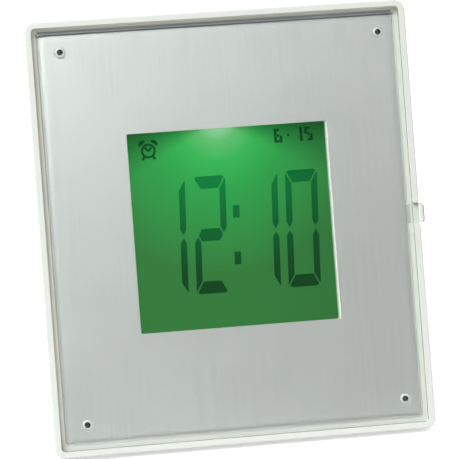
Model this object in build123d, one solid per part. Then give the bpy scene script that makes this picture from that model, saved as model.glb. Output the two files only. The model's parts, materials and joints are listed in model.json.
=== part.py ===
from build123d import *

import math
import os

# Photo frame clock: a white two-part case that leans back on a fold-out leg, a bevelled clear
# cover held by four pegs, a silver card with a square window, and a lit liquid-crystal display.
# Pieces are drawn upright: X to the right, Y from the face into the clock, Z up the face, with
# the rim at Y = 0 and the lower edge of the rim at Z = 0. STANDING then leans them back.
# All lengths are millimetres and all angles degrees.

# Case
CASE_WIDTH = 100.0
CASE_HEIGHT = 113.2
CORNER_RADIUS = 2.8
LEAST_ROUND = 0.4
WALL = 1.7
FACE_SHIFT = 0.8
RIM_ROUND = 0.5
BACK_ROUND = 2.2
SPLIT_DEPTH = 15.0
SPLIT_REVEAL = 0.3
LIP_LENGTH = 2.0
LIP_THICKNESS = 1.0
LIP_CLEARANCE = 0.1
LIP_SHELF = 2.5
LEAN = 15.0

# Clear cover
COVER_THICKNESS = 2.6
COVER_CLEARANCE = 0.15
SEAT_WIDTH = 1.55
SEAT_RISE = 0.9
SEAT_GAP = 0.1
BEVEL_WIDTH = 1.75
BEVEL_DEPTH = 0.9
BEVEL_INNER_ROUND = 0.25
PEG_DIAMETER = 1.5
PEG_INSET = 8.1
PEG_TIP = 1.0
PEG_TIP_CHAMFER = 0.3
PEG_CLEARANCE = 0.06
COLLAR_DIAMETER = 2.6
COLLAR_ROUND = 0.4
PEG_BOSS_DIAMETER = 4.0
PEG_END_GAP = 0.2
PEG_SOCKET_FLOOR = 0.8
EAR_HEIGHT = 5.2
EAR_REACH = 1.15
EAR_THICKNESS = 1.6
EAR_ROUND = 0.9
EAR_CLEARANCE = 0.3

# Silver card
CARD_THICKNESS = 0.5
CARD_CLEARANCE = 0.3
CARD_ROUND = 0.8
CARD_SIDE_SHARE = 0.55
CARD_DROP_SHARE = 0.7
CARD_WINDOW_MARGIN = 0.25
CARD_WINDOW_LAP = 0.1

# Display
MASK_THICKNESS = 2.0
WINDOW = 52.4
WINDOW_ROUND = 0.5
SEGMENT_THICKNESS = 0.1
GLASS_OVERLAP = 2.0
GLASS_LEDGE = 3.0
FRONT_GLASS = 1.1
REAR_GLASS = 1.3
LAYER_GAP = 0.1
GUIDE_THICKNESS = 3.0
REFLECTOR_THICKNESS = 0.2
LAMP_WIDTH = 3.4
LAMP_HEIGHT = 1.7
LAMP_CLEARANCE = 0.2
LAMP_LEAD = 0.5
LAMP_LEAD_PITCH = 2.0
FRAME_CLEARANCE = 0.2
FRAME_WALL = 1.2
STRIP_HEIGHT = 2.0
STRIP_INSET = 2.0

# Digits
DIGIT_HEIGHT = 31.2
DIGIT_WIDTH = 8.9
BAR_WIDTH = 2.0
BAR_HEIGHT = 3.6
BAR_GAP = 0.35
CORNER_CUT = 1.0
DIGIT_SLANT = 2.2
DIGIT_DROP = 1.6
DIGIT_PLACES = {"1 hours": -16.6, "2 hours": -5.9, "1 minutes": 7.9, "0 minutes": 18.5}
COLON_PLACE = 1.0
COLON_DROP = 0.5
COLON_SPACING = 12.25
COLON_WIDTH = 1.75
COLON_HEIGHT = 3.3
LIT_BARS = {"0": "abcdef", "1": "bc", "2": "abged"}

# Circuit board
BOARD_THICKNESS = 1.2
BOARD_GAP = 0.4
BOARD_MARGIN = 0.8
BOARD_BELOW_FRAME = 2.6
BOARD_ROUND = 1.0
BOARD_POST_DIAMETER = 4.4
BOARD_POST_INSET = 3.2
BOARD_SCREW_DIAMETER = 2.0
BOARD_SCREW_LENGTH = 5.0
BOARD_SCREW_HEAD = 3.6
BOARD_SCREW_HEAD_HEIGHT = 1.3
SCREW_CLEARANCE = 0.05
CHIP_DIAMETER = 13.0
CHIP_HEIGHT = 1.6
CRYSTAL_DIAMETER = 3.0
CRYSTAL_LENGTH = 8.2
CRYSTAL_GAP = 0.05
CRYSTAL_DROP = 14.0

# Screw heads, as shares of the head's own height or diameter
HEAD_ROUND_SHARE = 0.4
CROSS_SPAN_SHARE = 0.56
CROSS_WIDTH_SHARE = 0.17
CROSS_DEPTH_SHARE = 0.5

# Case screws
SCREW_INSET_X = 6.0
SCREW_INSET_Z = 16.0
POST_DIAMETER = 5.0
POST_GAP = 0.2
POST_PAST_SPLIT = 2.0
SCREW_DIAMETER = 2.2
SCREW_LENGTH = 10.0
SCREW_HEAD = 4.2
SCREW_HEAD_HEIGHT = 1.6
WELL_DIAMETER = 5.0
WELL_WALL = 1.0
WELL_FLOOR = 2.0

# Battery bay and door
CELL_DIAMETER = 10.5
CELL_LENGTH = 44.5
CELL_NUB_DIAMETER = 3.8
CELL_NUB_LENGTH = 1.0
CELL_ROUND = 0.6
CELL_CLEARANCE = 0.3
BAY_GAP = 0.8
BAY_WALL = 1.2
CONTACT_THICKNESS = 0.4
CONTACT_SIZE = 8.6
CONTACT_TAB_WIDTH = 2.0
CONTACT_TAB_REACH = 2.0
CONTACT_TAB_STEP = 2.4
CONTACT_CLEARANCE = 0.1
SPRING_LENGTH = 4.0
SPRING_DIAMETER = 5.4
SPRING_WIRE = 0.6
SPRING_TURNS = 3
DOOR_THICKNESS = 1.6
DOOR_LEDGE = 1.6
DOOR_CLEARANCE = 0.3
TONGUE_THICKNESS = 0.7
TONGUE_WIDTH = 1.2
RAIL_WALL = 1.2
GRIP_COUNT = 4
GRIP_LENGTH = 16.0
GRIP_WIDTH = 1.0
GRIP_PITCH = 2.2
GRIP_DEPTH = 0.5
GRIP_RISE = 6.0

# Fold-out leg
LEG_WIDTH = 24.0
LEG_FOOT_WIDTH = 18.0
LEG_THICKNESS = 3.0
LEG_OPEN = 25.0
LEG_CLEARANCE = 0.4
LEG_SKIN = 1.3
LEG_RIB = 2.0
LEG_STOP_GAP = 0.15
BARREL_RADIUS = 2.6
PIN_DIAMETER = 2.0
PIN_CLEARANCE = 0.05
PIN_FIT = 0.01
PIN_BITE = 2.4
POCKET_WALL = 1.4

# Keys, alarm slider and buzzer
KEY_WIDTH = 8.0
KEY_HEIGHT = 5.0
KEY_ROUND = 1.6
KEY_EDGE_ROUND = 0.5
KEY_PROUD = 0.9
KEY_CLEARANCE = 0.2
KEY_FLANGE = 1.0
KEY_FLANGE_MARGIN = 1.2
KEY_SEAT = 0.1
KEY_TRAVEL = 0.6
KEY_SLACK = 0.15
KEY_PLUNGER = 3.0
KEY_PITCH = 10.0
KEY_TOP_HEIGHT = 66.0
LIGHT_KEY_WIDTH = 14.0
SWITCH_SIZE = 6.0
SWITCH_HEIGHT = 3.4
SWITCH_STEM_DIAMETER = 3.4
SWITCH_STEM_HEIGHT = 0.9
SLIDER_WIDTH = 4.0
SLIDER_LENGTH = 5.0
SLIDER_TRAVEL = 4.0
SLIDER_PROUD = 0.9
SLIDER_FLANGE_MARGIN = 1.5
SLIDER_STEM = 1.6
SLIDER_STEM_BITE = 1.5
SLIDER_RIDGES = 3
SLIDER_RIDGE_DEPTH = 0.4
SLIDER_RIDGE_WIDTH = 0.7
SLIDER_RIDGE_PITCH = 1.4
SLIDE_SWITCH_WIDTH = 4.4
SLIDE_SWITCH_LENGTH = 9.0
SLIDE_SWITCH_HEIGHT = 3.6
BUZZER_DIAMETER = 20.0
BUZZER_THICKNESS = 0.8
BUZZER_CERAMIC_DIAMETER = 14.0
BUZZER_CERAMIC_THICKNESS = 0.4
BUZZER_CHAMBER = 1.5
BUZZER_RING_WALL = 1.2
BUZZER_CLEARANCE = 0.15
COLUMN_GAP = 1.3
SOUND_SLOTS = 5
SOUND_SLOT_LENGTH = 12.0
SOUND_SLOT_WIDTH = 1.4
SOUND_SLOT_PITCH = 2.8
LEAD_DIAMETER = 1.0
LEAD_BEND = 3.0
LEAD_RISE = 9.0
LEAD_PITCH = 3.0
LEAD_LANDING = 4.0

# Depths behind the rim, one layer after another
SEAT_FRONT = COVER_THICKNESS + SEAT_GAP
MASK_FRONT = SEAT_FRONT + SEAT_RISE
CARD_FRONT = MASK_FRONT - CARD_THICKNESS
MASK_BACK = MASK_FRONT + MASK_THICKNESS
PEG_END = MASK_BACK + PEG_TIP
SOCKET_END = PEG_END + PEG_END_GAP
GLASS_FRONT = MASK_BACK + SEGMENT_THICKNESS
LEDGE_BACK = GLASS_FRONT + FRONT_GLASS
GLASS_BACK = LEDGE_BACK + REAR_GLASS
GUIDE_FRONT = GLASS_BACK + LAYER_GAP
GUIDE_BACK = GUIDE_FRONT + GUIDE_THICKNESS
REFLECTOR_BACK = GUIDE_BACK + REFLECTOR_THICKNESS
BOARD_FRONT = REFLECTOR_BACK + BOARD_GAP
BOARD_BACK = BOARD_FRONT + BOARD_THICKNESS
BAY_FRONT = REFLECTOR_BACK + BAY_GAP
BAY_FLOOR = BAY_FRONT + BAY_WALL
CELL_DEPTH = BAY_FLOOR + CELL_CLEARANCE + CELL_DIAMETER / 2
DOOR_FRONT = CELL_DEPTH + CELL_DIAMETER / 2 + CELL_CLEARANCE
CASE_DEPTH = DOOR_FRONT + DOOR_THICKNESS
BACK_INNER = CASE_DEPTH - WALL
BASE_START = MASK_BACK

# Places on the face
CENTRE = CASE_HEIGHT / 2
RECESS_WIDTH = CASE_WIDTH - 2 * (WALL + SEAT_WIDTH)
RECESS_HEIGHT = CASE_HEIGHT - 2 * (WALL + SEAT_WIDTH)
GLASS_WIDTH = WINDOW + 2 * GLASS_OVERLAP
GLASS_TOP = CENTRE + WINDOW / 2 + GLASS_OVERLAP
GLASS_FOOT = CENTRE - WINDOW / 2 - GLASS_OVERLAP
LEDGE_FOOT = GLASS_FOOT - GLASS_LEDGE
PEGS = [(x + FACE_SHIFT, z) for x in (PEG_INSET - CASE_WIDTH / 2, CASE_WIDTH / 2 - PEG_INSET)
        for z in (PEG_INSET, CASE_HEIGHT - PEG_INSET)]

# Places on the back
BAY_HALF = (CELL_LENGTH + SPRING_LENGTH) / 2 + CONTACT_THICKNESS + CONTACT_CLEARANCE
BAY_TOP = CASE_HEIGHT - WALL - LIP_CLEARANCE - BAY_WALL
BAY_FOOT = BAY_TOP - 2 * CELL_DIAMETER - 3 * CELL_CLEARANCE
UPPER_CELL = BAY_TOP - CELL_CLEARANCE - CELL_DIAMETER / 2
LOWER_CELL = BAY_FOOT + CELL_CLEARANCE + CELL_DIAMETER / 2
DOOR_HALF = BAY_HALF + DOOR_LEDGE - TONGUE_WIDTH
DOOR_FOOT = BAY_FOOT - DOOR_LEDGE
PIVOT_DEPTH = CASE_DEPTH - LEG_THICKNESS
BARREL_POCKET = PIVOT_DEPTH - BARREL_RADIUS - LEG_CLEARANCE
HEEL = (BARREL_RADIUS + LEG_CLEARANCE - LEG_STOP_GAP) / math.sin(math.radians(LEG_OPEN))
HEEL_SWEEP = math.hypot(HEEL, LEG_THICKNESS)
POCKET_TOP = DOOR_FOOT - RAIL_WALL - POCKET_WALL
PIVOT_HEIGHT = POCKET_TOP - LEG_CLEARANCE - HEEL_SWEEP
POCKET_HALF = LEG_WIDTH / 2 + LEG_CLEARANCE
HINGE_HALF = POCKET_HALF + PIN_BITE + POCKET_WALL
CASE_POSTS = [(x, z) for x in (SCREW_INSET_X - CASE_WIDTH / 2, CASE_WIDTH / 2 - SCREW_INSET_X)
              for z in (SCREW_INSET_Z, CASE_HEIGHT - SCREW_INSET_Z)]
POST_BACK = SPLIT_DEPTH + POST_PAST_SPLIT
WELL_FRONT = POST_BACK + POST_GAP
WELL_SEAT = WELL_FRONT + WELL_FLOOR
BOARD_HALF = CASE_WIDTH / 2 - SCREW_INSET_X - POST_DIAMETER / 2 - BOARD_MARGIN
BOARD_TOP = BAY_FOOT - BAY_WALL - BOARD_MARGIN
BOARD_FOOT = LEDGE_FOOT - FRAME_CLEARANCE - FRAME_WALL - BOARD_BELOW_FRAME
BOARD_POSTS = [(x, z) for x in (BOARD_POST_INSET - BOARD_HALF, BOARD_HALF - BOARD_POST_INSET)
               for z in (BOARD_FOOT + BOARD_POST_INSET, BOARD_TOP - BOARD_POST_INSET)]
SIDE_MIDDLE = (HINGE_HALF + CASE_WIDTH / 2 - WALL - LIP_CLEARANCE - LIP_THICKNESS) / 2
KEY_PLACES = {
    "mode_key": (SIDE_MIDDLE, KEY_TOP_HEIGHT),
    "set_key": (SIDE_MIDDLE, KEY_TOP_HEIGHT - KEY_PITCH),
    "up_key": (SIDE_MIDDLE, KEY_TOP_HEIGHT - 2 * KEY_PITCH),
    "down_key": (SIDE_MIDDLE, KEY_TOP_HEIGHT - 3 * KEY_PITCH),
    "light_key": (-SIDE_MIDDLE, KEY_TOP_HEIGHT),
}
KEY_WIDTHS = {name: KEY_WIDTH for name in KEY_PLACES} | {"light_key": LIGHT_KEY_WIDTH}
SLIDER_REACH = SLIDER_LENGTH / 2 + SLIDER_FLANGE_MARGIN + SLIDER_TRAVEL + SLIDER_TRAVEL / 2
SLIDER_HEIGHT = KEY_TOP_HEIGHT - KEY_HEIGHT / 2 - KEY_FLANGE_MARGIN - COLUMN_GAP - SLIDER_REACH
SLIDER_PLACE = (-SIDE_MIDDLE, SLIDER_HEIGHT)
BUZZER_RING = BUZZER_DIAMETER + 2 * (BUZZER_CLEARANCE + BUZZER_RING_WALL)
BUZZER_PLACE = (-SIDE_MIDDLE, SLIDER_HEIGHT - SLIDER_REACH - COLUMN_GAP - BUZZER_RING / 2)
BUZZER_BACK = BACK_INNER - BUZZER_CHAMBER
BUZZER_FRONT = BUZZER_BACK - BUZZER_THICKNESS - BUZZER_CERAMIC_THICKNESS

# The base is cut to the lean, so the leg is as long as its foot needs to reach the same table
LEAN_RISE = math.tan(math.radians(LEAN))
FOOT_RADIUS = LEG_THICKNESS / 2
LEG_REACH = (
    PIVOT_HEIGHT * math.cos(math.radians(LEAN))
    - (PIVOT_DEPTH - BASE_START) * math.sin(math.radians(LEAN))
    + FOOT_RADIUS * math.sin(math.radians(LEG_OPEN - LEAN))
    - FOOT_RADIUS
) / math.cos(math.radians(LEG_OPEN - LEAN))
BASE_DEPTH = (BASE_START + CASE_DEPTH) / 2
STANDING = Rot(-LEAN, 0, 0) * Pos(0, -BASE_DEPTH, -(BASE_DEPTH - BASE_START) * LEAN_RISE)


def face_plane(depth):
    """Sketch plane parallel to the face at a depth, X to the right and Y up the face."""
    return Plane(origin=(0, depth, 0), x_dir=(1, 0, 0), z_dir=(0, -1, 0))


def slab(outline, front, back):
    """Outline on the face carried straight back from one depth to another."""
    return extrude(face_plane(front) * outline, amount=back - front, dir=(0, 1, 0))


def rod(place, diameter, front, back):
    """Round bar square to the face."""
    return slab(Pos(*place) * Circle(diameter / 2), front, back)


def bar_between(left, right, foot, top):
    """Plain rectangle on the face between its sides."""
    return Pos((left + right) / 2, (foot + top) / 2) * Rectangle(right - left, top - foot)


def case_outline(depth, inset):
    """Outline of the case at a depth, drawn in all round; behind the mask its foot rises."""
    foot = max(depth - BASE_START, 0) * LEAN_RISE + inset
    top = CASE_HEIGHT - inset
    radius = max(CORNER_RADIUS - inset, LEAST_ROUND)
    return Pos(0, (foot + top) / 2) * RectangleRounded(CASE_WIDTH - 2 * inset, top - foot, radius)


def case_loft(front, back, inset):
    """Block of the case's own section between two depths behind the mask."""
    ends = [face_plane(depth) * case_outline(depth, inset) for depth in (front, back)]
    return loft(ends, ruled=True)


def case_body():
    """Whole outer form: straight at the cover, foot cut to the lean behind, edges rounded."""
    body = slab(case_outline(0, 0), 0, BASE_START) + case_loft(BASE_START, CASE_DEPTH, 0)
    body = fillet(body.edges().filter_by_position(Axis.Y, 0, 0), RIM_ROUND)
    return fillet(body.edges().filter_by_position(Axis.Y, CASE_DEPTH, CASE_DEPTH), BACK_ROUND)


BODY = case_body()
SPAN = Pos(0, CENTRE) * Rectangle(2 * CASE_WIDTH, 2 * CASE_HEIGHT)


def make_front_case():
    """Front shell: rim, cover seat, card recess, mask wall with its window, sockets and screw posts."""
    case = BODY & slab(SPAN, 0, SPLIT_DEPTH)
    case -= slab(case_outline(0, WALL), 0, SEAT_FRONT)
    recess = Pos(0, CENTRE) * RectangleRounded(RECESS_WIDTH, RECESS_HEIGHT, CARD_ROUND)
    case -= slab(recess, SEAT_FRONT, MASK_FRONT)
    case -= case_loft(MASK_BACK, SPLIT_DEPTH, WALL)
    window = Pos(FACE_SHIFT, CENTRE) * RectangleRounded(WINDOW, WINDOW, WINDOW_ROUND)
    case -= slab(window, MASK_FRONT, MASK_BACK)
    for place in CASE_POSTS:
        case += rod(place, POST_DIAMETER, MASK_BACK, POST_BACK)
    for place in BOARD_POSTS:
        case += rod(place, BOARD_POST_DIAMETER, MASK_BACK, BOARD_FRONT)
    for place in PEGS:
        collar = rod(place, COLLAR_DIAMETER, SEAT_FRONT, MASK_FRONT)
        case += fillet(collar.edges().filter_by_position(Axis.Y, SEAT_FRONT, SEAT_FRONT), COLLAR_ROUND)
        case += rod(place, PEG_BOSS_DIAMETER, MASK_BACK, SOCKET_END + PEG_SOCKET_FLOOR)
    screw_tip = WELL_SEAT - SCREW_LENGTH
    for place in CASE_POSTS:
        case -= rod(place, SCREW_DIAMETER + 2 * SCREW_CLEARANCE, screw_tip - SCREW_CLEARANCE, POST_BACK)
    board_screw_tip = BOARD_BACK - BOARD_SCREW_LENGTH - SCREW_CLEARANCE
    for place in BOARD_POSTS:
        case -= rod(place, BOARD_SCREW_DIAMETER + 2 * SCREW_CLEARANCE, board_screw_tip, BOARD_FRONT)
    for place in PEGS:
        case -= rod(place, PEG_DIAMETER + 2 * PEG_CLEARANCE, SEAT_FRONT, SOCKET_END)
    notch_half = EAR_HEIGHT / 2 + EAR_CLEARANCE
    notch = bar_between(CASE_WIDTH / 2 - 2 * WALL, CASE_WIDTH, CENTRE - notch_half, CENTRE + notch_half)
    return case - slab(notch, 0, EAR_THICKNESS + EAR_CLEARANCE)


def make_clear_cover():
    """Clear plate with a bevel all round but at the pull ear, and four pegs on its back."""
    edge = WALL + COVER_CLEARANCE
    rim_outline = case_outline(0, edge)
    top_width = CASE_WIDTH - 2 * (edge + BEVEL_WIDTH)
    top_height = CASE_HEIGHT - 2 * (edge + BEVEL_WIDTH)
    top_outline = Pos(0, CENTRE) * RectangleRounded(top_width, top_height, BEVEL_INNER_ROUND)
    cover = slab(rim_outline, BEVEL_DEPTH, COVER_THICKNESS)
    cover += loft([face_plane(0) * top_outline, face_plane(BEVEL_DEPTH) * rim_outline], ruled=True)
    ear_root = top_width / 2 - BEVEL_WIDTH
    ear_tip = CASE_WIDTH / 2 + EAR_REACH
    ear = RectangleRounded(ear_tip - ear_root, EAR_HEIGHT, EAR_ROUND)
    cover += slab(Pos((ear_root + ear_tip) / 2, CENTRE) * ear, 0, EAR_THICKNESS)
    for place in PEGS:
        peg = rod(place, PEG_DIAMETER, COVER_THICKNESS, PEG_END)
        cover += chamfer(peg.edges().filter_by_position(Axis.Y, PEG_END, PEG_END), PEG_TIP_CHAMFER)
    return cover


def make_insert_card():
    """Silver card with a square window and four peg holes, slipped down and to one side by its play."""
    slip = CARD_SIDE_SHARE * CARD_CLEARANCE
    drop = CARD_DROP_SHARE * CARD_CLEARANCE
    width = RECESS_WIDTH - 2 * CARD_CLEARANCE
    height = RECESS_HEIGHT - 2 * CARD_CLEARANCE
    sheet = Pos(slip, CENTRE - drop) * RectangleRounded(width, height, CARD_ROUND)
    opening = Rectangle(WINDOW + 2 * CARD_WINDOW_MARGIN, WINDOW - 2 * CARD_WINDOW_LAP)
    sheet -= Pos(FACE_SHIFT + slip, CENTRE) * opening
    for x, z in PEGS:
        sheet -= Pos(x + slip, z - drop) * Circle(COLLAR_DIAMETER / 2 + CARD_CLEARANCE)
    return slab(sheet, CARD_FRONT, MASK_FRONT)


def make_display_glass():
    """Two bonded glass plates; the front one reaches further down as the contact ledge."""
    half = GLASS_WIDTH / 2
    front = slab(bar_between(-half, half, LEDGE_FOOT, GLASS_TOP), GLASS_FRONT, LEDGE_BACK)
    return front + slab(bar_between(-half, half, GLASS_FOOT, GLASS_TOP), LEDGE_BACK, GLASS_BACK)


def bar_corners(bar):
    """Corners of one of the seven bars about the middle of an upright digit.

    Bars are mitred to their neighbours, end in a point at half height, and share cut outer corners.
    """
    out_x, out_z = DIGIT_WIDTH / 2, DIGIT_HEIGHT / 2
    in_x, in_z = out_x - BAR_WIDTH, out_z - BAR_HEIGHT
    mid_x, mid_z = out_x - BAR_WIDTH / 2, BAR_HEIGHT / 2
    share = CORNER_CUT / (BAR_WIDTH + BAR_HEIGHT)
    cut = (out_x - share * BAR_WIDTH, out_z - share * BAR_HEIGHT)
    top_right = [(out_x - CORNER_CUT, out_z), cut, (in_x, in_z)]
    top = top_right + [(-x, z) for x, z in reversed(top_right)]
    point = [(out_x, mid_z), (mid_x, 0), (in_x, mid_z)]
    upper_right = [cut, (out_x, out_z - CORNER_CUT)] + point + [(in_x, in_z)]
    middle = [(-mid_x, 0), (-in_x, mid_z), (in_x, mid_z), (mid_x, 0), (in_x, -mid_z), (-in_x, -mid_z)]
    return {
        "a": top,
        "b": upper_right,
        "c": [(x, -z) for x, z in upper_right],
        "d": [(x, -z) for x, z in top],
        "e": [(-x, -z) for x, z in upper_right],
        "f": [(-x, z) for x, z in upper_right],
        "g": middle,
    }[bar]


def slanted(corners, middle_x):
    """Outline through corners that lean to the right, set at a place on the display."""
    slope = math.tan(math.radians(DIGIT_SLANT))
    places = [(middle_x + x + z * slope, CENTRE - DIGIT_DROP + z) for x, z in corners]
    return make_face(Polyline(*places, close=True))


def make_display_segments():
    """Lit bars of the time and the two colon blocks, each a thin piece of its own."""
    pieces = []
    for label, middle_x in DIGIT_PLACES.items():
        for bar in LIT_BARS[label[0]]:
            outline = offset(slanted(bar_corners(bar), middle_x), -BAR_GAP / 2, kind=Kind.INTERSECTION)
            pieces.append(slab(outline, MASK_BACK, GLASS_FRONT))
    for side in (-1, 1):
        foot = side * COLON_SPACING / 2 - COLON_DROP - COLON_HEIGHT / 2
        half = COLON_WIDTH / 2
        block = [(-half, foot), (half, foot), (half, foot + COLON_HEIGHT), (-half, foot + COLON_HEIGHT)]
        pieces.append(slab(slanted(block, COLON_PLACE), MASK_BACK, GLASS_FRONT))
    return Compound([piece.solids()[0] for piece in pieces])


def guide_outline():
    """Outline of the light guide, notched at the top middle for the lamp."""
    half = GLASS_WIDTH / 2
    notch = LAMP_WIDTH / 2 + LAMP_CLEARANCE
    notch_foot = GLASS_TOP - LAMP_HEIGHT - LAMP_CLEARANCE
    plate = bar_between(-half, half, GLASS_FOOT, GLASS_TOP)
    return plate - bar_between(-notch, notch, notch_foot, GLASS_TOP)


def make_light_guide():
    """Clear plate that spreads the lamp's light behind the glass."""
    return slab(guide_outline(), GUIDE_FRONT, GUIDE_BACK)


def make_reflector_sheet():
    """White sheet on the back of the light guide."""
    return slab(guide_outline(), GUIDE_BACK, REFLECTOR_BACK)


def make_backlight_lamp():
    """Small lamp in the light guide's notch, its two leads on the board."""
    foot = GLASS_TOP - LAMP_HEIGHT
    lamp = slab(bar_between(-LAMP_WIDTH / 2, LAMP_WIDTH / 2, foot, GLASS_TOP), GUIDE_FRONT, GUIDE_BACK)
    for side in (-1, 1):
        place = Pos(side * LAMP_LEAD_PITCH / 2, foot + LAMP_HEIGHT / 2)
        lamp += slab(place * Rectangle(LAMP_LEAD, LAMP_LEAD), GUIDE_BACK, BOARD_FRONT)
    return lamp


def make_display_frame():
    """Moulded ring round the glass and light guide, between the mask wall and the board."""
    inner_half = GLASS_WIDTH / 2 + FRAME_CLEARANCE
    foot, top = LEDGE_FOOT - FRAME_CLEARANCE, GLASS_TOP + FRAME_CLEARANCE
    outer_half = inner_half + FRAME_WALL
    ring = bar_between(-outer_half, outer_half, foot - FRAME_WALL, top + FRAME_WALL)
    return slab(ring - bar_between(-inner_half, inner_half, foot, top), MASK_BACK, BOARD_FRONT)


def make_contact_strip():
    """Rubber strip that carries the drive lines from the board to the glass ledge."""
    half = GLASS_WIDTH / 2 - STRIP_INSET
    foot = LEDGE_FOOT + (GLASS_LEDGE - STRIP_HEIGHT) / 2
    return slab(bar_between(-half, half, foot, foot + STRIP_HEIGHT), LEDGE_BACK, BOARD_FRONT)


def make_circuit_board():
    """Board behind the display with a hole for each of its screws."""
    middle = (BOARD_FOOT + BOARD_TOP) / 2
    outline = Pos(0, middle) * RectangleRounded(2 * BOARD_HALF, BOARD_TOP - BOARD_FOOT, BOARD_ROUND)
    board = slab(outline, BOARD_FRONT, BOARD_BACK)
    for place in BOARD_POSTS:
        board -= rod(place, BOARD_SCREW_DIAMETER + 2 * SCREW_CLEARANCE, BOARD_FRONT, BOARD_BACK)
    return board


def make_chip_blob():
    """Domed resin blob over the bare chip."""
    half = CHIP_DIAMETER / 2
    radius = (half ** 2 + CHIP_HEIGHT ** 2) / (2 * CHIP_HEIGHT)
    ball = Pos(0, BOARD_BACK + CHIP_HEIGHT - radius, CENTRE) * Sphere(radius)
    return ball & slab(SPAN, BOARD_BACK, BOARD_BACK + CHIP_HEIGHT)


def make_quartz_crystal():
    """Metal can that lies on the board below the chip."""
    depth = BOARD_BACK + CRYSTAL_GAP + CRYSTAL_DIAMETER / 2
    can = Cylinder(CRYSTAL_DIAMETER / 2, CRYSTAL_LENGTH)
    return Pos(0, depth, CENTRE - CRYSTAL_DROP) * Rot(0, 90, 0) * can


def pan_screw(place, diameter, length, head_diameter, head_height, seat):
    """Screw square to the back: shank, head with a rounded crown, and cross recess."""
    crown = seat + head_height
    head = rod(place, head_diameter, seat, crown)
    head = fillet(head.edges().filter_by_position(Axis.Y, crown, crown), head_height * HEAD_ROUND_SHARE)
    span = head_diameter * CROSS_SPAN_SHARE
    width = head_diameter * CROSS_WIDTH_SHARE
    cross = Rectangle(span, width) + Rectangle(width, span)
    head -= slab(Pos(*place) * cross, crown - head_height * CROSS_DEPTH_SHARE, crown)
    return (head + rod(place, diameter, seat - length, seat)).solids()[0]


def make_board_screws():
    """Pan-head screws that hold the board to its posts."""
    sizes = (BOARD_SCREW_DIAMETER, BOARD_SCREW_LENGTH, BOARD_SCREW_HEAD, BOARD_SCREW_HEAD_HEIGHT)
    return Compound([pan_screw(place, *sizes, BOARD_BACK) for place in BOARD_POSTS])


def make_key_switches():
    """Small push switches on the board, one below each key."""
    switches = []
    for x, z in KEY_PLACES.values():
        top = BOARD_BACK + SWITCH_HEIGHT
        body = slab(Pos(x, z) * Rectangle(SWITCH_SIZE, SWITCH_SIZE), BOARD_BACK, top)
        body += rod((x, z), SWITCH_STEM_DIAMETER, top, top + SWITCH_STEM_HEIGHT)
        switches.append(body.solids()[0])
    return Compound(switches)


def make_alarm_switch():
    """Slide switch body on the board, slotted for the slider's stem."""
    x, z = SLIDER_PLACE
    top = BOARD_BACK + SLIDE_SWITCH_HEIGHT
    body = slab(Pos(x, z) * Rectangle(SLIDE_SWITCH_WIDTH, SLIDE_SWITCH_LENGTH), BOARD_BACK, top)
    slot = Rectangle(SLIDER_STEM + 2 * KEY_CLEARANCE, SLIDER_STEM + SLIDER_TRAVEL + 2 * KEY_CLEARANCE)
    return body - slab(Pos(x, z) * slot, top - SLIDER_STEM_BITE - KEY_CLEARANCE, top)


def make_alarm_slider():
    """Ridged knob in a slot of the back, resting at the lower end of its travel."""
    x, middle = SLIDER_PLACE
    z = middle - SLIDER_TRAVEL / 2
    flange_back = BACK_INNER - KEY_SEAT
    flange_front = flange_back - KEY_FLANGE
    crown = CASE_DEPTH + SLIDER_PROUD
    knob = slab(Pos(x, z) * Rectangle(SLIDER_WIDTH, SLIDER_LENGTH), flange_back, crown)
    for step in range(SLIDER_RIDGES):
        rise = (step - (SLIDER_RIDGES - 1) / 2) * SLIDER_RIDGE_PITCH
        groove = Pos(x, z + rise) * Rectangle(SLIDER_WIDTH, SLIDER_RIDGE_WIDTH)
        knob -= slab(groove, crown - SLIDER_RIDGE_DEPTH, crown)
    flange_width = SLIDER_WIDTH + 2 * SLIDER_FLANGE_MARGIN
    flange_length = SLIDER_LENGTH + 2 * (SLIDER_TRAVEL + SLIDER_FLANGE_MARGIN)
    knob += slab(Pos(x, z) * Rectangle(flange_width, flange_length), flange_front, flange_back)
    stem_tip = BOARD_BACK + SLIDE_SWITCH_HEIGHT - SLIDER_STEM_BITE
    return knob + slab(Pos(x, z) * Rectangle(SLIDER_STEM, SLIDER_STEM), stem_tip, flange_front)


def make_key(name):
    """Key cap with rounded edges, the flange that keeps it in, and the plunger over its switch."""
    x, z = KEY_PLACES[name]
    crown = CASE_DEPTH + KEY_PROUD
    flange_back = BACK_INNER - KEY_SEAT
    flange_front = flange_back - KEY_FLANGE
    cap = slab(Pos(x, z) * RectangleRounded(KEY_WIDTHS[name], KEY_HEIGHT, KEY_ROUND), flange_back, crown)
    cap = fillet(cap.edges().filter_by_position(Axis.Y, crown, crown), KEY_EDGE_ROUND)
    flange_width = KEY_WIDTHS[name] + 2 * KEY_FLANGE_MARGIN
    flange_height = KEY_HEIGHT + 2 * KEY_FLANGE_MARGIN
    flange = Pos(x, z) * RectangleRounded(flange_width, flange_height, KEY_ROUND + KEY_FLANGE_MARGIN)
    cap += slab(flange, flange_front, flange_back)
    stem_top = BOARD_BACK + SWITCH_HEIGHT + SWITCH_STEM_HEIGHT
    return cap + rod((x, z), KEY_PLUNGER, stem_top + KEY_TRAVEL + KEY_SLACK, flange_front)


def make_buzzer():
    """Thin metal disc with a smaller ceramic disc on its inner side."""
    seam = BUZZER_FRONT + BUZZER_CERAMIC_THICKNESS
    disc = rod(BUZZER_PLACE, BUZZER_DIAMETER, seam, BUZZER_BACK)
    return disc + rod(BUZZER_PLACE, BUZZER_CERAMIC_DIAMETER, BUZZER_FRONT, seam)


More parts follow.
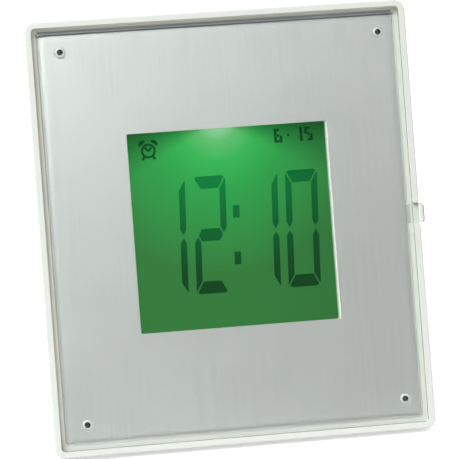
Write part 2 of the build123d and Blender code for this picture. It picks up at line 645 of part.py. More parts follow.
def lead(points):
    """Round wire along a route of straight runs with rounded corners."""
    route = FilletPolyline(*points, radius=LEAD_BEND)
    section = Plane(origin=route @ 0, z_dir=route % 0) * Circle(LEAD_DIAMETER / 2)
    return sweep(section, path=route)


def make_buzzer_leads():
    """Two wires from the buzzer's inner side to the board."""
    wires = []
    x, z = BUZZER_PLACE
    rise = z + LEAD_RISE
    turn = (BOARD_BACK + BUZZER_FRONT) / 2
    for side in (-1, 1):
        run = x + side * LEAD_PITCH / 2
        route = [(run, BUZZER_FRONT, z), (run, turn, z), (run, turn, rise), (run, BOARD_BACK, rise)]
        wires.append(lead(route))
    return Compound([wire.solids()[0] for wire in wires])


def contact_tab(z, reach):
    """Solder tab of a contact, through the bay's end wall."""
    root = BAY_HALF - CONTACT_THICKNESS
    tip = BAY_HALF + BAY_WALL + reach
    strip = bar_between(root, tip, z - CONTACT_THICKNESS / 2, z + CONTACT_THICKNESS / 2)
    return slab(strip, CELL_DEPTH - CONTACT_TAB_WIDTH / 2, CELL_DEPTH + CONTACT_TAB_WIDTH / 2)


TAB_REACHES = {LOWER_CELL: CONTACT_TAB_REACH, UPPER_CELL: CONTACT_TAB_REACH + CONTACT_TAB_STEP}


def make_battery_contacts():
    """Two contact plates with tabs at one end of the bay and a plate that bridges the other end."""
    half = CONTACT_SIZE / 2
    front, back = CELL_DEPTH - half, CELL_DEPTH + half
    plates = []
    for z, reach in TAB_REACHES.items():
        plate = slab(bar_between(BAY_HALF - CONTACT_THICKNESS, BAY_HALF, z - half, z + half), front, back)
        plates.append((plate + contact_tab(z, reach)).solids()[0])
    bridge = bar_between(-BAY_HALF, CONTACT_THICKNESS - BAY_HALF, LOWER_CELL - half, UPPER_CELL + half)
    plates.append(slab(bridge, front, back).solids()[0])
    return Compound(plates)


def make_battery_leads():
    """A wire from each contact tab down to the board."""
    wires = []
    landing = BOARD_TOP - LEAD_LANDING
    for z, reach in TAB_REACHES.items():
        x = BAY_HALF + BAY_WALL + reach - LEAD_DIAMETER
        start = z - CONTACT_THICKNESS / 2
        wires.append(lead([(x, CELL_DEPTH, start), (x, CELL_DEPTH, landing), (x, BOARD_BACK, landing)]))
    return Compound([wire.solids()[0] for wire in wires])


def make_cell(z, plus_side):
    """Battery cell with its plus nub towards one side of the bay."""
    body_length = CELL_LENGTH - CELL_NUB_LENGTH
    body = fillet(Cylinder(CELL_DIAMETER / 2, body_length).edges(), CELL_ROUND)
    body += Pos(0, 0, CELL_LENGTH / 2) * Cylinder(CELL_NUB_DIAMETER / 2, CELL_NUB_LENGTH)
    nub_end = BAY_HALF - CONTACT_THICKNESS - CONTACT_CLEARANCE
    middle = plus_side * (nub_end - CELL_NUB_LENGTH - body_length / 2)
    return Pos(middle, CELL_DEPTH, z) * Rot(0, plus_side * 90, 0) * body


def helix_point(turn, radius, height):
    """Point on a helix about Z after a number of turns."""
    angle = 2 * math.pi * turn
    return Vector(radius * math.cos(angle), radius * math.sin(angle), height * turn / SPRING_TURNS)


def coil_spring():
    """Coil spring about Z as one tube on arcs of a quarter turn, each tangent to the last."""
    radius = (SPRING_DIAMETER - SPRING_WIRE) / 2
    height = SPRING_LENGTH - SPRING_WIRE
    quarters = SPRING_TURNS * 4
    points = [helix_point(step / 4, radius, height) for step in range(quarters + 1)]
    tangent = Vector(0, radius, height / (2 * math.pi * SPRING_TURNS))
    arcs = []
    for start, end in zip(points, points[1:]):
        arcs.append(Edge.make_tangent_arc(start, tangent, end))
        tangent = arcs[-1] % 1
    section = Plane(origin=points[0], z_dir=arcs[0] % 0) * Circle(SPRING_WIRE / 2)
    print("least gap between turns of the contact spring:", round(least_turn_gap(arcs), 3))
    return Pos(0, 0, SPRING_WIRE / 2) * sweep(section, path=Wire(arcs))


def least_turn_gap(arcs):
    """Least gap between turns, from points on the wire's middle that lie most of a turn apart."""
    shares = (0, 0.25, 0.5, 0.75)
    points = [arc @ share for arc in arcs for share in shares]
    most_of_a_turn = 3 * len(shares)
    reaches = []
    for index, point in enumerate(points):
        reaches += [(other - point).length for other in points[index + most_of_a_turn:]]
    return min(reaches) - SPRING_WIRE


def make_contact_springs():
    """Coil spring on the minus end of each cell."""
    spring = coil_spring()
    seat = BAY_HALF - CONTACT_THICKNESS - CONTACT_CLEARANCE / 2
    lower = Pos(seat, CELL_DEPTH, LOWER_CELL) * Rot(0, -90, 0) * spring
    upper = Pos(-seat, CELL_DEPTH, UPPER_CELL) * Rot(0, 90, 0) * spring
    return Compound([lower.solids()[0], upper.solids()[0]])


def door_outline(half, foot):
    """Door outline, open to the top edge of the case."""
    return bar_between(-half, half, foot, CASE_HEIGHT + WALL)


def make_battery_door():
    """Sliding door that follows the rounded top edge, with side tongues and finger grooves."""
    half = DOOR_HALF - DOOR_CLEARANCE
    foot = DOOR_FOOT + DOOR_CLEARANCE
    front = DOOR_FRONT + CELL_CLEARANCE / 2
    door = BODY & slab(door_outline(half, foot), front, CASE_DEPTH)
    tongue = door_outline(half + TONGUE_WIDTH, foot)
    door += BODY & slab(tongue, front, front + TONGUE_THICKNESS)
    for step in range(GRIP_COUNT):
        groove = Pos(0, foot + GRIP_RISE + step * GRIP_PITCH) * SlotOverall(GRIP_LENGTH, GRIP_WIDTH)
        door -= slab(groove, CASE_DEPTH - GRIP_DEPTH, CASE_DEPTH)
    return door


def leg_side_profile():
    """Side outline of the leg folded against the back: heel, barrel and rounded foot."""
    plane = Plane(origin=(0, PIVOT_DEPTH, PIVOT_HEIGHT), x_dir=(0, 1, 0), z_dir=(1, 0, 0))
    strip = Pos(LEG_THICKNESS / 2, (HEEL - LEG_REACH) / 2) * Rectangle(LEG_THICKNESS, HEEL + LEG_REACH)
    return plane * (strip + Circle(BARREL_RADIUS) + Pos(FOOT_RADIUS, -LEG_REACH) * Circle(FOOT_RADIUS))


def make_stand_leg():
    """Leg narrowing to its foot, ribbed on the inner side, swung out to its stop."""
    leg = extrude(leg_side_profile(), amount=LEG_WIDTH / 2, both=True)
    foot = PIVOT_HEIGHT - LEG_REACH - LEG_THICKNESS
    knee = PIVOT_HEIGHT - BARREL_RADIUS
    top = PIVOT_HEIGHT + HEEL + LEG_THICKNESS
    right_side = [(LEG_WIDTH / 2, top), (LEG_WIDTH / 2, knee), (LEG_FOOT_WIDTH / 2, foot)]
    left_side = [(-x, z) for x, z in reversed(right_side)]
    taper = make_face(Polyline(*right_side, *left_side, close=True))
    leg &= slab(taper, BARREL_POCKET, CASE_DEPTH)
    hollow_top = PIVOT_HEIGHT - BARREL_RADIUS - LEG_RIB
    hollow_foot = PIVOT_HEIGHT - LEG_REACH + LEG_RIB
    hollow_half = LEG_FOOT_WIDTH / 2 - LEG_RIB
    for side in (-1, 1):
        inner, outer = sorted((side * LEG_RIB / 2, side * hollow_half))
        leg -= slab(bar_between(inner, outer, hollow_foot, hollow_top), PIVOT_DEPTH, CASE_DEPTH - LEG_SKIN)
    leg -= pivot_rod(PIN_DIAMETER + 2 * PIN_CLEARANCE, LEG_WIDTH)
    return leg.rotate(Axis((0, PIVOT_DEPTH, PIVOT_HEIGHT), (1, 0, 0)), LEG_OPEN)


def pivot_rod(diameter, length):
    """Round bar along the leg's hinge line."""
    return Pos(0, PIVOT_DEPTH, PIVOT_HEIGHT) * Rot(0, 90, 0) * Cylinder(diameter / 2, length)


def make_hinge_pin():
    """Steel pin through the leg's barrel, held in both sides of the pocket."""
    return pivot_rod(PIN_DIAMETER, 2 * (POCKET_HALF + PIN_BITE))


def make_case_screws():
    """Screws in the wells of the back, with their tips in the front posts."""
    sizes = (SCREW_DIAMETER, SCREW_LENGTH, SCREW_HEAD, SCREW_HEAD_HEIGHT)
    return Compound([pan_screw(place, *sizes, WELL_SEAT) for place in CASE_POSTS])


def back_blocks():
    """Solid blocks on the inner side of the back that the bay, pocket, wells and ring are cut from."""
    bay_outer = BAY_HALF + BAY_WALL
    rail_outer = DOOR_HALF + TONGUE_WIDTH + RAIL_WALL
    bay = bar_between(-bay_outer, bay_outer, BAY_FOOT - BAY_WALL, BAY_TOP + BAY_WALL)
    blocks = slab(bay, BAY_FRONT, CASE_DEPTH)
    rail_foot = DOOR_FOOT - RAIL_WALL
    rail_front = DOOR_FRONT - RAIL_WALL
    blocks += slab(bar_between(-rail_outer, rail_outer, rail_foot, CASE_HEIGHT), rail_front, CASE_DEPTH)
    hinge_foot = PIVOT_HEIGHT - BARREL_RADIUS - LEG_CLEARANCE - POCKET_WALL
    hinge = bar_between(-HINGE_HALF, HINGE_HALF, hinge_foot, POCKET_TOP + POCKET_WALL)
    blocks += slab(hinge, BARREL_POCKET - POCKET_WALL, CASE_DEPTH)
    pocket_outer = POCKET_HALF + POCKET_WALL
    trough = bar_between(-pocket_outer, pocket_outer, 0, hinge_foot)
    blocks += slab(trough, PIVOT_DEPTH - LEG_CLEARANCE - POCKET_WALL, CASE_DEPTH)
    for place in CASE_POSTS:
        blocks += rod(place, WELL_DIAMETER + 2 * WELL_WALL, WELL_FRONT, CASE_DEPTH)
    blocks += rod(BUZZER_PLACE, BUZZER_RING, BUZZER_FRONT, CASE_DEPTH)
    return blocks & BODY


def back_lip():
    """Lip that fits inside the front case, and the shelf that joins it to the wall."""
    lip_inset = WALL + LIP_CLEARANCE
    start = SPLIT_DEPTH + SPLIT_REVEAL
    front = SPLIT_DEPTH - LIP_LENGTH
    back = start + LIP_SHELF
    lip = case_loft(front, back, lip_inset) - case_loft(front, back, lip_inset + LIP_THICKNESS)
    shelf_inset = lip_inset + LIP_THICKNESS / 2
    shelf = case_loft(start, back, WALL / 2) - case_loft(start, back, shelf_inset)
    return lip + shelf


def make_rear_cover():
    """Back shell with its lip, battery bay, leg pocket, key holes, sound slots and screw wells."""
    start = SPLIT_DEPTH + SPLIT_REVEAL
    cover = (BODY & slab(SPAN, start, CASE_DEPTH)) - case_loft(start, BACK_INNER, WALL)
    cover += back_lip()
    cover += back_blocks()
    cover -= slab(bar_between(-BAY_HALF, BAY_HALF, BAY_FOOT, BAY_TOP), BAY_FLOOR, CASE_DEPTH)
    tab_half = CONTACT_TAB_WIDTH / 2 + CONTACT_CLEARANCE
    slit_half = CONTACT_THICKNESS / 2 + CONTACT_CLEARANCE
    for z in TAB_REACHES:
        slit = bar_between(BAY_HALF, BAY_HALF + BAY_WALL, z - slit_half, z + slit_half)
        cover -= slab(slit, CELL_DEPTH - tab_half, CELL_DEPTH + tab_half)
    groove_back = DOOR_FRONT + CELL_CLEARANCE + TONGUE_THICKNESS
    cover -= slab(door_outline(DOOR_HALF + TONGUE_WIDTH, DOOR_FOOT), DOOR_FRONT, groove_back)
    cover -= slab(door_outline(DOOR_HALF, DOOR_FOOT), DOOR_FRONT, CASE_DEPTH)
    pocket = bar_between(-POCKET_HALF, POCKET_HALF, -CASE_HEIGHT, POCKET_TOP)
    cover -= slab(pocket, PIVOT_DEPTH - LEG_CLEARANCE, CASE_DEPTH)
    barrel_foot = PIVOT_HEIGHT - BARREL_RADIUS - LEG_CLEARANCE
    barrel_room = bar_between(-POCKET_HALF, POCKET_HALF, barrel_foot, POCKET_TOP)
    cover -= slab(barrel_room, BARREL_POCKET, CASE_DEPTH)
    cover -= pivot_rod(PIN_DIAMETER + 2 * PIN_FIT, 2 * (POCKET_HALF + PIN_BITE + PIN_FIT))
    hole_height = KEY_HEIGHT + 2 * KEY_CLEARANCE
    for name, place in KEY_PLACES.items():
        hole = RectangleRounded(KEY_WIDTHS[name] + 2 * KEY_CLEARANCE, hole_height, KEY_ROUND)
        cover -= slab(Pos(*place) * hole, BACK_INNER, CASE_DEPTH)
    slot = Rectangle(SLIDER_WIDTH + 2 * KEY_CLEARANCE, SLIDER_LENGTH + SLIDER_TRAVEL + 2 * KEY_CLEARANCE)
    cover -= slab(Pos(*SLIDER_PLACE) * slot, BACK_INNER, CASE_DEPTH)
    for place in CASE_POSTS:
        cover -= rod(place, WELL_DIAMETER, WELL_SEAT, CASE_DEPTH)
        cover -= rod(place, SCREW_DIAMETER + 2 * SCREW_CLEARANCE, WELL_FRONT, WELL_SEAT)
    cover -= rod(BUZZER_PLACE, BUZZER_DIAMETER + 2 * BUZZER_CLEARANCE, BUZZER_FRONT, BUZZER_BACK)
    cover -= rod(BUZZER_PLACE, BUZZER_DIAMETER - 2 * BUZZER_RING_WALL, BUZZER_BACK, BACK_INNER)
    for step in range(SOUND_SLOTS):
        rise = (step - (SOUND_SLOTS - 1) / 2) * SOUND_SLOT_PITCH
        sound_slot = Pos(0, rise) * SlotOverall(SOUND_SLOT_LENGTH, SOUND_SLOT_WIDTH)
        cover -= slab(Pos(*BUZZER_PLACE) * sound_slot, BACK_INNER, CASE_DEPTH)
    return cover


NODES = {
    "front_case": make_front_case,
    "rear_cover": make_rear_cover,
    "clear_cover": make_clear_cover,
    "insert_card": make_insert_card,
    "circuit_board": make_circuit_board,
    "chip_blob": make_chip_blob,
    "quartz_crystal": make_quartz_crystal,
    "board_screws": make_board_screws,
    "key_switches": make_key_switches,
    "alarm_switch": make_alarm_switch,
    "alarm_slider": make_alarm_slider,
    "buzzer": make_buzzer,
    "buzzer_leads": make_buzzer_leads,
    "battery_contacts": make_battery_contacts,
    "contact_springs": make_contact_springs,
    "battery_leads": make_battery_leads,
    "battery_door": make_battery_door,
    "stand_leg": make_stand_leg,
    "hinge_pin": make_hinge_pin,
    "case_screws": make_case_screws,
}
DISPLAY_NODES = {
    "display_glass": make_display_glass,
    "display_segments": make_display_segments,
    "display_frame": make_display_frame,
    "light_guide": make_light_guide,
    "reflector_sheet": make_reflector_sheet,
    "backlight_lamp": make_backlight_lamp,
    "contact_strip": make_contact_strip,
}

os.makedirs("parts", exist_ok=True)
for name, make in NODES.items():
    export_step(STANDING * make(), f"parts/{name}.step")
for name, make in DISPLAY_NODES.items():
    export_step(STANDING * Pos(FACE_SHIFT, 0, 0) * make(), f"parts/{name}.step")
for name in KEY_PLACES:
    export_step(STANDING * make_key(name), f"parts/{name}.step")
for name, height, plus_side in (("upper_cell", UPPER_CELL, 1), ("lower_cell", LOWER_CELL, -1)):
    export_step(STANDING * make_cell(height, plus_side), f"parts/{name}.step")
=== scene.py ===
import json
import logging
import math
from dataclasses import dataclass
from enum import Enum
from typing import Any, Sequence

import bpy
import numpy as np
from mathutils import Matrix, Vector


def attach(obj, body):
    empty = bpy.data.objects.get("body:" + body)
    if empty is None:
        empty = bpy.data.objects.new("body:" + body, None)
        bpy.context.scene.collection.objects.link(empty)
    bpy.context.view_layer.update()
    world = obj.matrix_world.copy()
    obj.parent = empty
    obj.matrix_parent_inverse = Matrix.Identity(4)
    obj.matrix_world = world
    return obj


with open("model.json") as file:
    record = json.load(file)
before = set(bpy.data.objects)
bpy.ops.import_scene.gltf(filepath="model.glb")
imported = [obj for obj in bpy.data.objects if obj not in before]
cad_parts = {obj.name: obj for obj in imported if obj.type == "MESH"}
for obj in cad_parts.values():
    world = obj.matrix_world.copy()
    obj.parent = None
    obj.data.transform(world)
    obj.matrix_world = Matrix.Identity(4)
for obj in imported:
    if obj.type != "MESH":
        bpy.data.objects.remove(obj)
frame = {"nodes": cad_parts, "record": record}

log = logging.getLogger("photo_frame_clock")

Colour = tuple[float, float, float, float]
Pair = tuple[float, float]
Point = tuple[float, float, float]
Stops = tuple[tuple[float, str], ...]
Sockets = dict[str | int, Any]
Tree = bpy.types.NodeTree
Socket = bpy.types.NodeSocket
Materials = dict["Slot", bpy.types.Material]

MM = 0.001
# Sockets of a Mix node that is set to colours: share, first and second colour, and the result.
SHARE, FIRST, SECOND, MIXED = 0, 6, 7, 2
# Length of one wave of a Wave node at scale 1.
WAVE_LENGTH = 0.31
# Bars of each small numeral, lettered from a at the top round to f, with g in the middle.
LIT_BARS = {"6": "acdefg", "-": "g", "1": "bc", "5": "acdfg"}


class Body(str, Enum):
    """Moving bodies of the clock that new pieces ride on."""

    CASE = "case"
    DOOR = "door"
    MODE = "mode"
    SET = "set"
    UP = "up"
    DOWN = "down"
    LIGHT = "light"


class Slot(str, Enum):
    """Material slots of the clock's record."""

    WHITE_CASE = "white_case"
    CLEAR_ACRYLIC = "clear_acrylic"
    SILVER_CARD = "silver_card"
    DISPLAY_GLASS = "display_glass"
    DISPLAY_BARS = "display_bars"
    FROSTED_ACRYLIC = "frosted_acrylic"
    WHITE_SHEET = "white_sheet"
    GREEN_LAMP = "green_lamp"
    CONTACT_RUBBER = "contact_rubber"
    BOARD_LAMINATE = "board_laminate"
    BLACK_RESIN = "black_resin"
    PLATED_STEEL = "plated_steel"
    SWITCH_BODY = "switch_body"
    GREY_KEY = "grey_key"
    BUZZER_BRASS = "buzzer_brass"
    LEAD_COVER = "lead_cover"
    CELL_JACKET = "cell_jacket"


def linear(code: str) -> Colour:
    """Turn an sRGB hex value into linear light.

    Args:
        code: Colour as six hex digits, such as "ECF0EB".

    Returns:
        Linear red, green, blue and an alpha of 1.
    """
    shares = np.array([int(code[step:step + 2], 16) for step in (0, 2, 4)]) / 255
    light = np.where(shares <= 0.04045, shares / 12.92, ((shares + 0.055) / 1.055) ** 2.4)
    return (*light.tolist(), 1.0)


def per_mm(size: float) -> float:
    """Return the texture scale on Object coordinates for a feature size in millimetres."""
    return 1 / (size * MM)


def add_node(tree: Tree, kind: str, inputs: Sockets | None = None, stops: Stops = (),
             **settings: Any) -> bpy.types.Node:
    """Add a node with its settings, values and links.

    Args:
        tree: Node tree of a material or of the world.
        kind: Blender's name of the node's class.
        inputs: Value or output socket for each input, by name or number.
        stops: Places and hex colours of a colour ramp, its two ends before the rest.
        settings: Properties of the node itself.

    Returns:
        The new node.
    """
    node = tree.nodes.new(kind)
    for name, value in settings.items():
        setattr(node, name, value)
    for name, value in (inputs or {}).items():
        if isinstance(value, Socket):
            tree.links.new(value, node.inputs[name])
        else:
            node.inputs[name].default_value = value
    for index, (place, code) in enumerate(stops):
        elements = node.color_ramp.elements
        element = elements[index] if index < 2 else elements.new(place)
        element.position, element.color = place, linear(code)
    return node


def blank_material(title: str) -> bpy.types.Material:
    """Make a material whose node tree is empty."""
    made = bpy.data.materials.new(title)
    made.use_nodes = True
    made.node_tree.nodes.clear()
    return made


@dataclass(frozen=True)
class FaceFrame:
    """Upright drawing frame of the clock and the lean that stands it on its base.

    In it X runs to the right, Y from the rim into the clock and Z up the face, in millimetres,
    from the middle of the rim's lower edge.
    """

    lean: float = math.radians(15.0)
    base_depth: float = 15.85
    base_rise: float = 2.7465
    centre: float = 56.6
    shift: float = 0.8
    back: float = 26.1

    def to_world(self, points: np.ndarray) -> np.ndarray:
        """Turn points of the drawing frame about X by the lean and scale them to metres.

        Args:
            points: Array of n points in millimetres.

        Returns:
            Array of n points in metres, in the frame of the standing clock.
        """
        x, y, z = points.T
        depth, rise = y - self.base_depth, z - self.base_rise
        turned = (x, depth * math.cos(self.lean) + rise * math.sin(self.lean),
                  rise * math.cos(self.lean) - depth * math.sin(self.lean))
        return np.stack(turned, axis=1) * MM

    def coordinates(self, tree: Tree) -> Socket:
        """Add nodes that give the drawing frame's coordinates, in metres, from Object ones."""
        place = add_node(tree, "ShaderNodeTexCoord").outputs["Object"]
        location = (0.0, self.base_depth * MM, self.base_rise * MM)
        turn = {"Vector": place, "Location": location, "Rotation": (self.lean, 0.0, 0.0)}
        return add_node(tree, "ShaderNodeMapping", turn).outputs[0]


FACE = FaceFrame()


@dataclass(frozen=True)
class Finish:
    """A material named for what it is made of."""

    title: str

    def surface(self, tree: Tree) -> Socket:
        """Add the finish's own nodes and return the shader."""
        raise NotImplementedError

    def material(self) -> bpy.types.Material:
        """Make the material from the finish's nodes.

        Returns:
            Material with its shader linked to the output.
        """
        made = blank_material(self.title)
        shader = self.surface(made.node_tree)
        add_node(made.node_tree, "ShaderNodeOutputMaterial", {"Surface": shader})
        log.info("finish %s", self.title)
        return made


@dataclass(frozen=True)
class MouldedPlastic(Finish):
    """Injection-moulded plastic: fine grain from the tool, slow drift of shade from its flow."""

    colour: str
    shade: str
    roughness: float = 0.38
    rough_swing: float = 0.05
    grain: float = 0.35
    relief: float = 0.004
    bump: float = 0.6
    drift: float = 22.0
    ior: float = 1.53

    def surface(self, tree: Tree) -> Socket:
        """Mix two near shades by slow noise, and roughen and bump by fine noise."""
        place = add_node(tree, "ShaderNodeTexCoord").outputs["Object"]
        slow = add_node(tree, "ShaderNodeTexNoise", {
            "Vector": place, "Scale": per_mm(self.drift), "Detail": 3.0})
        fine = add_node(tree, "ShaderNodeTexNoise", {
            "Vector": place, "Scale": per_mm(self.grain), "Detail": 2.0})
        tone = add_node(tree, "ShaderNodeMix", {
            SHARE: slow.outputs[0], FIRST: linear(self.colour), SECOND: linear(self.shade)},
            data_type="RGBA")
        rough = add_node(tree, "ShaderNodeMapRange", {
            "Value": fine.outputs[0], "To Min": self.roughness - self.rough_swing,
            "To Max": self.roughness + self.rough_swing})
        bump = add_node(tree, "ShaderNodeBump", {
            "Strength": self.bump, "Distance": self.relief * MM, "Height": fine.outputs[0]})
        return add_node(tree, "ShaderNodeBsdfPrincipled", {
            "Base Color": self.tone(tree, tone.outputs[MIXED]), "Roughness": rough.outputs[0],
            "IOR": self.ior, "Normal": bump.outputs[0]}).outputs[0]

    def tone(self, tree: Tree, plain: Socket) -> Socket:
        """Leave the plastic's own shade as it is."""
        return plain


@dataclass(frozen=True)
class PaintedShade:
    """Place on a piece, as a box in the drawing frame, with a painted shade that stands in for
    light and shadow.
    """

    low: Point
    high: Point
    shade: str
    fade: float = 0.05

    def cover(self, tree: Tree, place: Socket) -> Socket:
        """Add nodes for how much of the shade shows.

        None shows at the sides of the box, and all of it from the fade's width on. How deep a point
        lies in the box is the least, over the three axes, of the half size less the distance from
        the middle.

        Args:
            tree: Node tree of the material.
            place: Socket of the drawing frame's coordinates.

        Returns:
            Socket of the share, from 0 to 1.
        """
        middle = [(low + high) / 2 * MM for low, high in zip(self.low, self.high)]
        half = [(high - low) / 2 * MM for low, high in zip(self.low, self.high)]
        away = add_node(tree, "ShaderNodeVectorMath", {0: place, 1: middle}, operation="SUBTRACT")
        apart = add_node(tree, "ShaderNodeVectorMath", {0: away.outputs[0]}, operation="ABSOLUTE")
        depths = add_node(tree, "ShaderNodeVectorMath", {0: half, 1: apart.outputs[0]},
                          operation="SUBTRACT")
        axes = add_node(tree, "ShaderNodeSeparateXYZ", {0: depths.outputs[0]})
        least = add_node(tree, "ShaderNodeMath", {0: axes.outputs[0], 1: axes.outputs[1]},
                         operation="MINIMUM")
        least = add_node(tree, "ShaderNodeMath", {0: least.outputs[0], 1: axes.outputs[2]},
                         operation="MINIMUM")
        return add_node(tree, "ShaderNodeMapRange", {
            "Value": least.outputs[0], "From Min": 0.0, "From Max": self.fade * MM}).outputs[0]


def lay_painted_shades(tree: Tree, plain: Socket | Colour, painted_shades: tuple[PaintedShade, ...]) -> Socket:
    """Lay each painted shade over a plain colour.

    Args:
        tree: Node tree of the material.
        plain: Colour that the piece has elsewhere.
        painted_shades: Painted shades, each over those before it.

    Returns:
        Socket of the colour with its patches.
    """
    place = FACE.coordinates(tree)
    for shade_box in painted_shades:
        plain = add_node(tree, "ShaderNodeMix", {
            SHARE: shade_box.cover(tree, place), FIRST: plain, SECOND: linear(shade_box.shade)},
            data_type="RGBA").outputs[MIXED]
    return plain


@dataclass(frozen=True)
class CaseMoulding(MouldedPlastic):
    """Moulding of the case, with painted shade and a painted warm tint round the clear cover and
    the card.
    """

    painted_shades: tuple[PaintedShade, ...] = (
        # Inner wall of the rim, at the right and below: painted shade for the dark seam beside the
        # cover.
        PaintedShade((48.2, 0.7, 0.0), (48.4, 2.65, 113.2), "9C9C96"),
        PaintedShade((-50.0, 0.7, 1.6), (50.0, 2.65, 1.8), "787872"),
        # Ledge below the cover's border, at the left and above: a painted warm tint for bounce
        # light in the rim's shade.
        PaintedShade((-48.3, 2.5, 3.0), (-46.7, 2.9, 111.4), "EEEAE2"),
        PaintedShade((-48.3, 2.5, 109.9), (48.3, 2.9, 111.6), "F4EFE2"),
        # Gap beside the card, at the left and above: painted shade, grey at the left and a dark
        # blue-grey line above.
        PaintedShade((-46.85, 2.75, 3.4), (-46.25, 3.7, 109.6), "B8B4B0", fade=0.15),
        PaintedShade((-46.9, 2.2, 109.36), (46.9, 4.2, 110.6), "5E6486", fade=0.64),
        # Ledge beside the cover's ear: painted shade for the shadowed recess below it.
        PaintedShade((46.5, 2.0, 54.0), (47.8, 3.9, 59.2), "C8CCC6", fade=0.25),
    )

    def tone(self, tree: Tree, plain: Socket) -> Socket:
        """Lay the painted shade over the plastic's own shade."""
        return lay_painted_shades(tree, plain, self.painted_shades)


@dataclass(frozen=True)
class ClearAcrylic(Finish):
    """Cast acrylic polished clear: it bends what lies behind it, and lets lamps shine through."""

    tint: str = "FDFEFD"
    ior: float = 1.49
    roughness: float = 0.01
    smear: float = 9.0
    smear_range: Pair = (0.45, 0.8)
    smear_gain: float = 4.0
    painted_shades: tuple[PaintedShade, ...] = (
        # Ear past the rim, then its outer and its upper edge: painted grey shade on the clear
        # acrylic.
        PaintedShade((49.9, -0.5, 53.5), (51.6, 2.1, 59.7), "D6D7D4"),
        PaintedShade((50.6, -0.5, 53.5), (51.6, 2.1, 59.7), "BEBABA", fade=0.25),
        PaintedShade((48.3, -0.5, 58.8), (51.6, 2.1, 59.7), "BEBABA", fade=0.2),
    )

    def surface(self, tree: Tree) -> Socket:
        """Refract through a faintly smeared surface, and pass light on to what lies behind."""
        place = add_node(tree, "ShaderNodeTexCoord").outputs["Object"]
        smears = add_node(tree, "ShaderNodeTexNoise", {
            "Vector": place, "Scale": per_mm(self.smear), "Detail": 4.0})
        rough = add_node(tree, "ShaderNodeMapRange", {
            "Value": smears.outputs[0], "From Min": self.smear_range[0],
            "From Max": self.smear_range[1], "To Min": self.roughness,
            "To Max": self.smear_gain * self.roughness})
        glass = add_node(tree, "ShaderNodeBsdfPrincipled", {
            "Base Color": lay_painted_shades(tree, linear(self.tint), self.painted_shades),
            "Roughness": rough.outputs[0], "IOR": self.ior, "Transmission Weight": 1.0})
        clear = add_node(tree, "ShaderNodeBsdfTransparent", {"Color": linear(self.tint)})
        path = add_node(tree, "ShaderNodeLightPath")
        spread = add_node(tree, "ShaderNodeMixShader", {
            0: path.outputs["Is Diffuse Ray"], 1: glass.outputs[0], 2: clear.outputs[0]})
        return add_node(tree, "ShaderNodeMixShader", {
            0: path.outputs["Is Shadow Ray"], 1: spread.outputs[0], 2: clear.outputs[0]}).outputs[0]


@dataclass(frozen=True)
class FoilCard(Finish):
    """Card faced with satin silver foil: a soft metal sheen with faint upright rolling streaks."""

    colour: str = "E8EBE8"
    shade: str = "E3E6E3"
    shade_range: Pair = (0.12, 0.4)
    roughness: float = 0.44
    rough_swing: float = 0.04
    streak_width: float = 0.6
    streak_length: float = 30.0
    cloud: float = 16.0
    relief: float = 0.003
    bump: float = 0.2
    half_width: float = 46.45
    half_height: float = 53.05
    slip: Pair = (0.165, -0.21)
    roll_width: float = 1.5
    roll_depth: float = 0.07

    def surface(self, tree: Tree) -> Socket:
        """Stretch noise up the card for the streaks, and let clouds vary the foil's shade."""
        place = FACE.coordinates(tree)
        width, length = per_mm(self.streak_width), per_mm(self.streak_length)
        upright = add_node(tree, "ShaderNodeMapping", {
            "Vector": place, "Scale": (width, width, length)})
        streaks = add_node(tree, "ShaderNodeTexNoise", {
            "Vector": upright.outputs[0], "Scale": 1.0, "Detail": 2.0})
        clouds = add_node(tree, "ShaderNodeTexNoise", {
            "Vector": place, "Scale": per_mm(self.cloud), "Detail": 2.0})
        both = add_node(tree, "ShaderNodeMath", {0: streaks.outputs[0], 1: clouds.outputs[0]},
                        operation="MULTIPLY")
        share = add_node(tree, "ShaderNodeMapRange", {
            "Value": both.outputs[0], "From Min": self.shade_range[0],
            "From Max": self.shade_range[1]})
        tone = add_node(tree, "ShaderNodeMix", {
            SHARE: share.outputs[0], FIRST: linear(self.colour), SECOND: linear(self.shade)},
            data_type="RGBA")
        rough = add_node(tree, "ShaderNodeMapRange", {
            "Value": streaks.outputs[0], "To Min": self.roughness - self.rough_swing,
            "To Max": self.roughness + self.rough_swing})
        bump = add_node(tree, "ShaderNodeBump", {
            "Strength": self.bump, "Distance": self.relief * MM, "Height": streaks.outputs[0],
            "Normal": self.rolled_edge(tree, place)})
        return add_node(tree, "ShaderNodeBsdfPrincipled", {
            "Base Color": tone.outputs[MIXED], "Metallic": 1.0, "Roughness": rough.outputs[0],
            "Normal": bump.outputs[0]}).outputs[0]

    def rolled_edge(self, tree: Tree, place: Socket) -> Socket:
        """Add nodes that bend the surface back near the outline, as the cutting die presses it.

        The drop is the square of how far a point lies inside the rolled strip, from 0 at its inner
        side to 1 at the outline.

        Args:
            tree: Node tree of the material.
            place: Socket of the drawing frame's coordinates.

        Returns:
            Socket of the bent normal.
        """
        centre = (-self.slip[0] * MM, 0.0, -(FACE.centre + self.slip[1]) * MM)
        moved = add_node(tree, "ShaderNodeMapping", {"Vector": place, "Location": centre})
        apart = add_node(tree, "ShaderNodeVectorMath", {0: moved.outputs[0]}, operation="ABSOLUTE")
        axes = add_node(tree, "ShaderNodeSeparateXYZ", {0: apart.outputs[0]})
        strips = [add_node(tree, "ShaderNodeMapRange", {
            "Value": axes.outputs[axis], "From Min": (half - self.roll_width) * MM,
            "From Max": half * MM}) for axis, half in ((0, self.half_width), (2, self.half_height))]
        nearest = add_node(tree, "ShaderNodeMath", {
            0: strips[0].outputs[0], 1: strips[1].outputs[0]}, operation="MAXIMUM")
        drop = add_node(tree, "ShaderNodeMath", {0: nearest.outputs[0], 1: 2.0}, operation="POWER")
        return add_node(tree, "ShaderNodeBump", {
            "Strength": 1.0, "Distance": self.roll_depth * MM, "Height": drop.outputs[0]},
            invert=True).outputs[0]


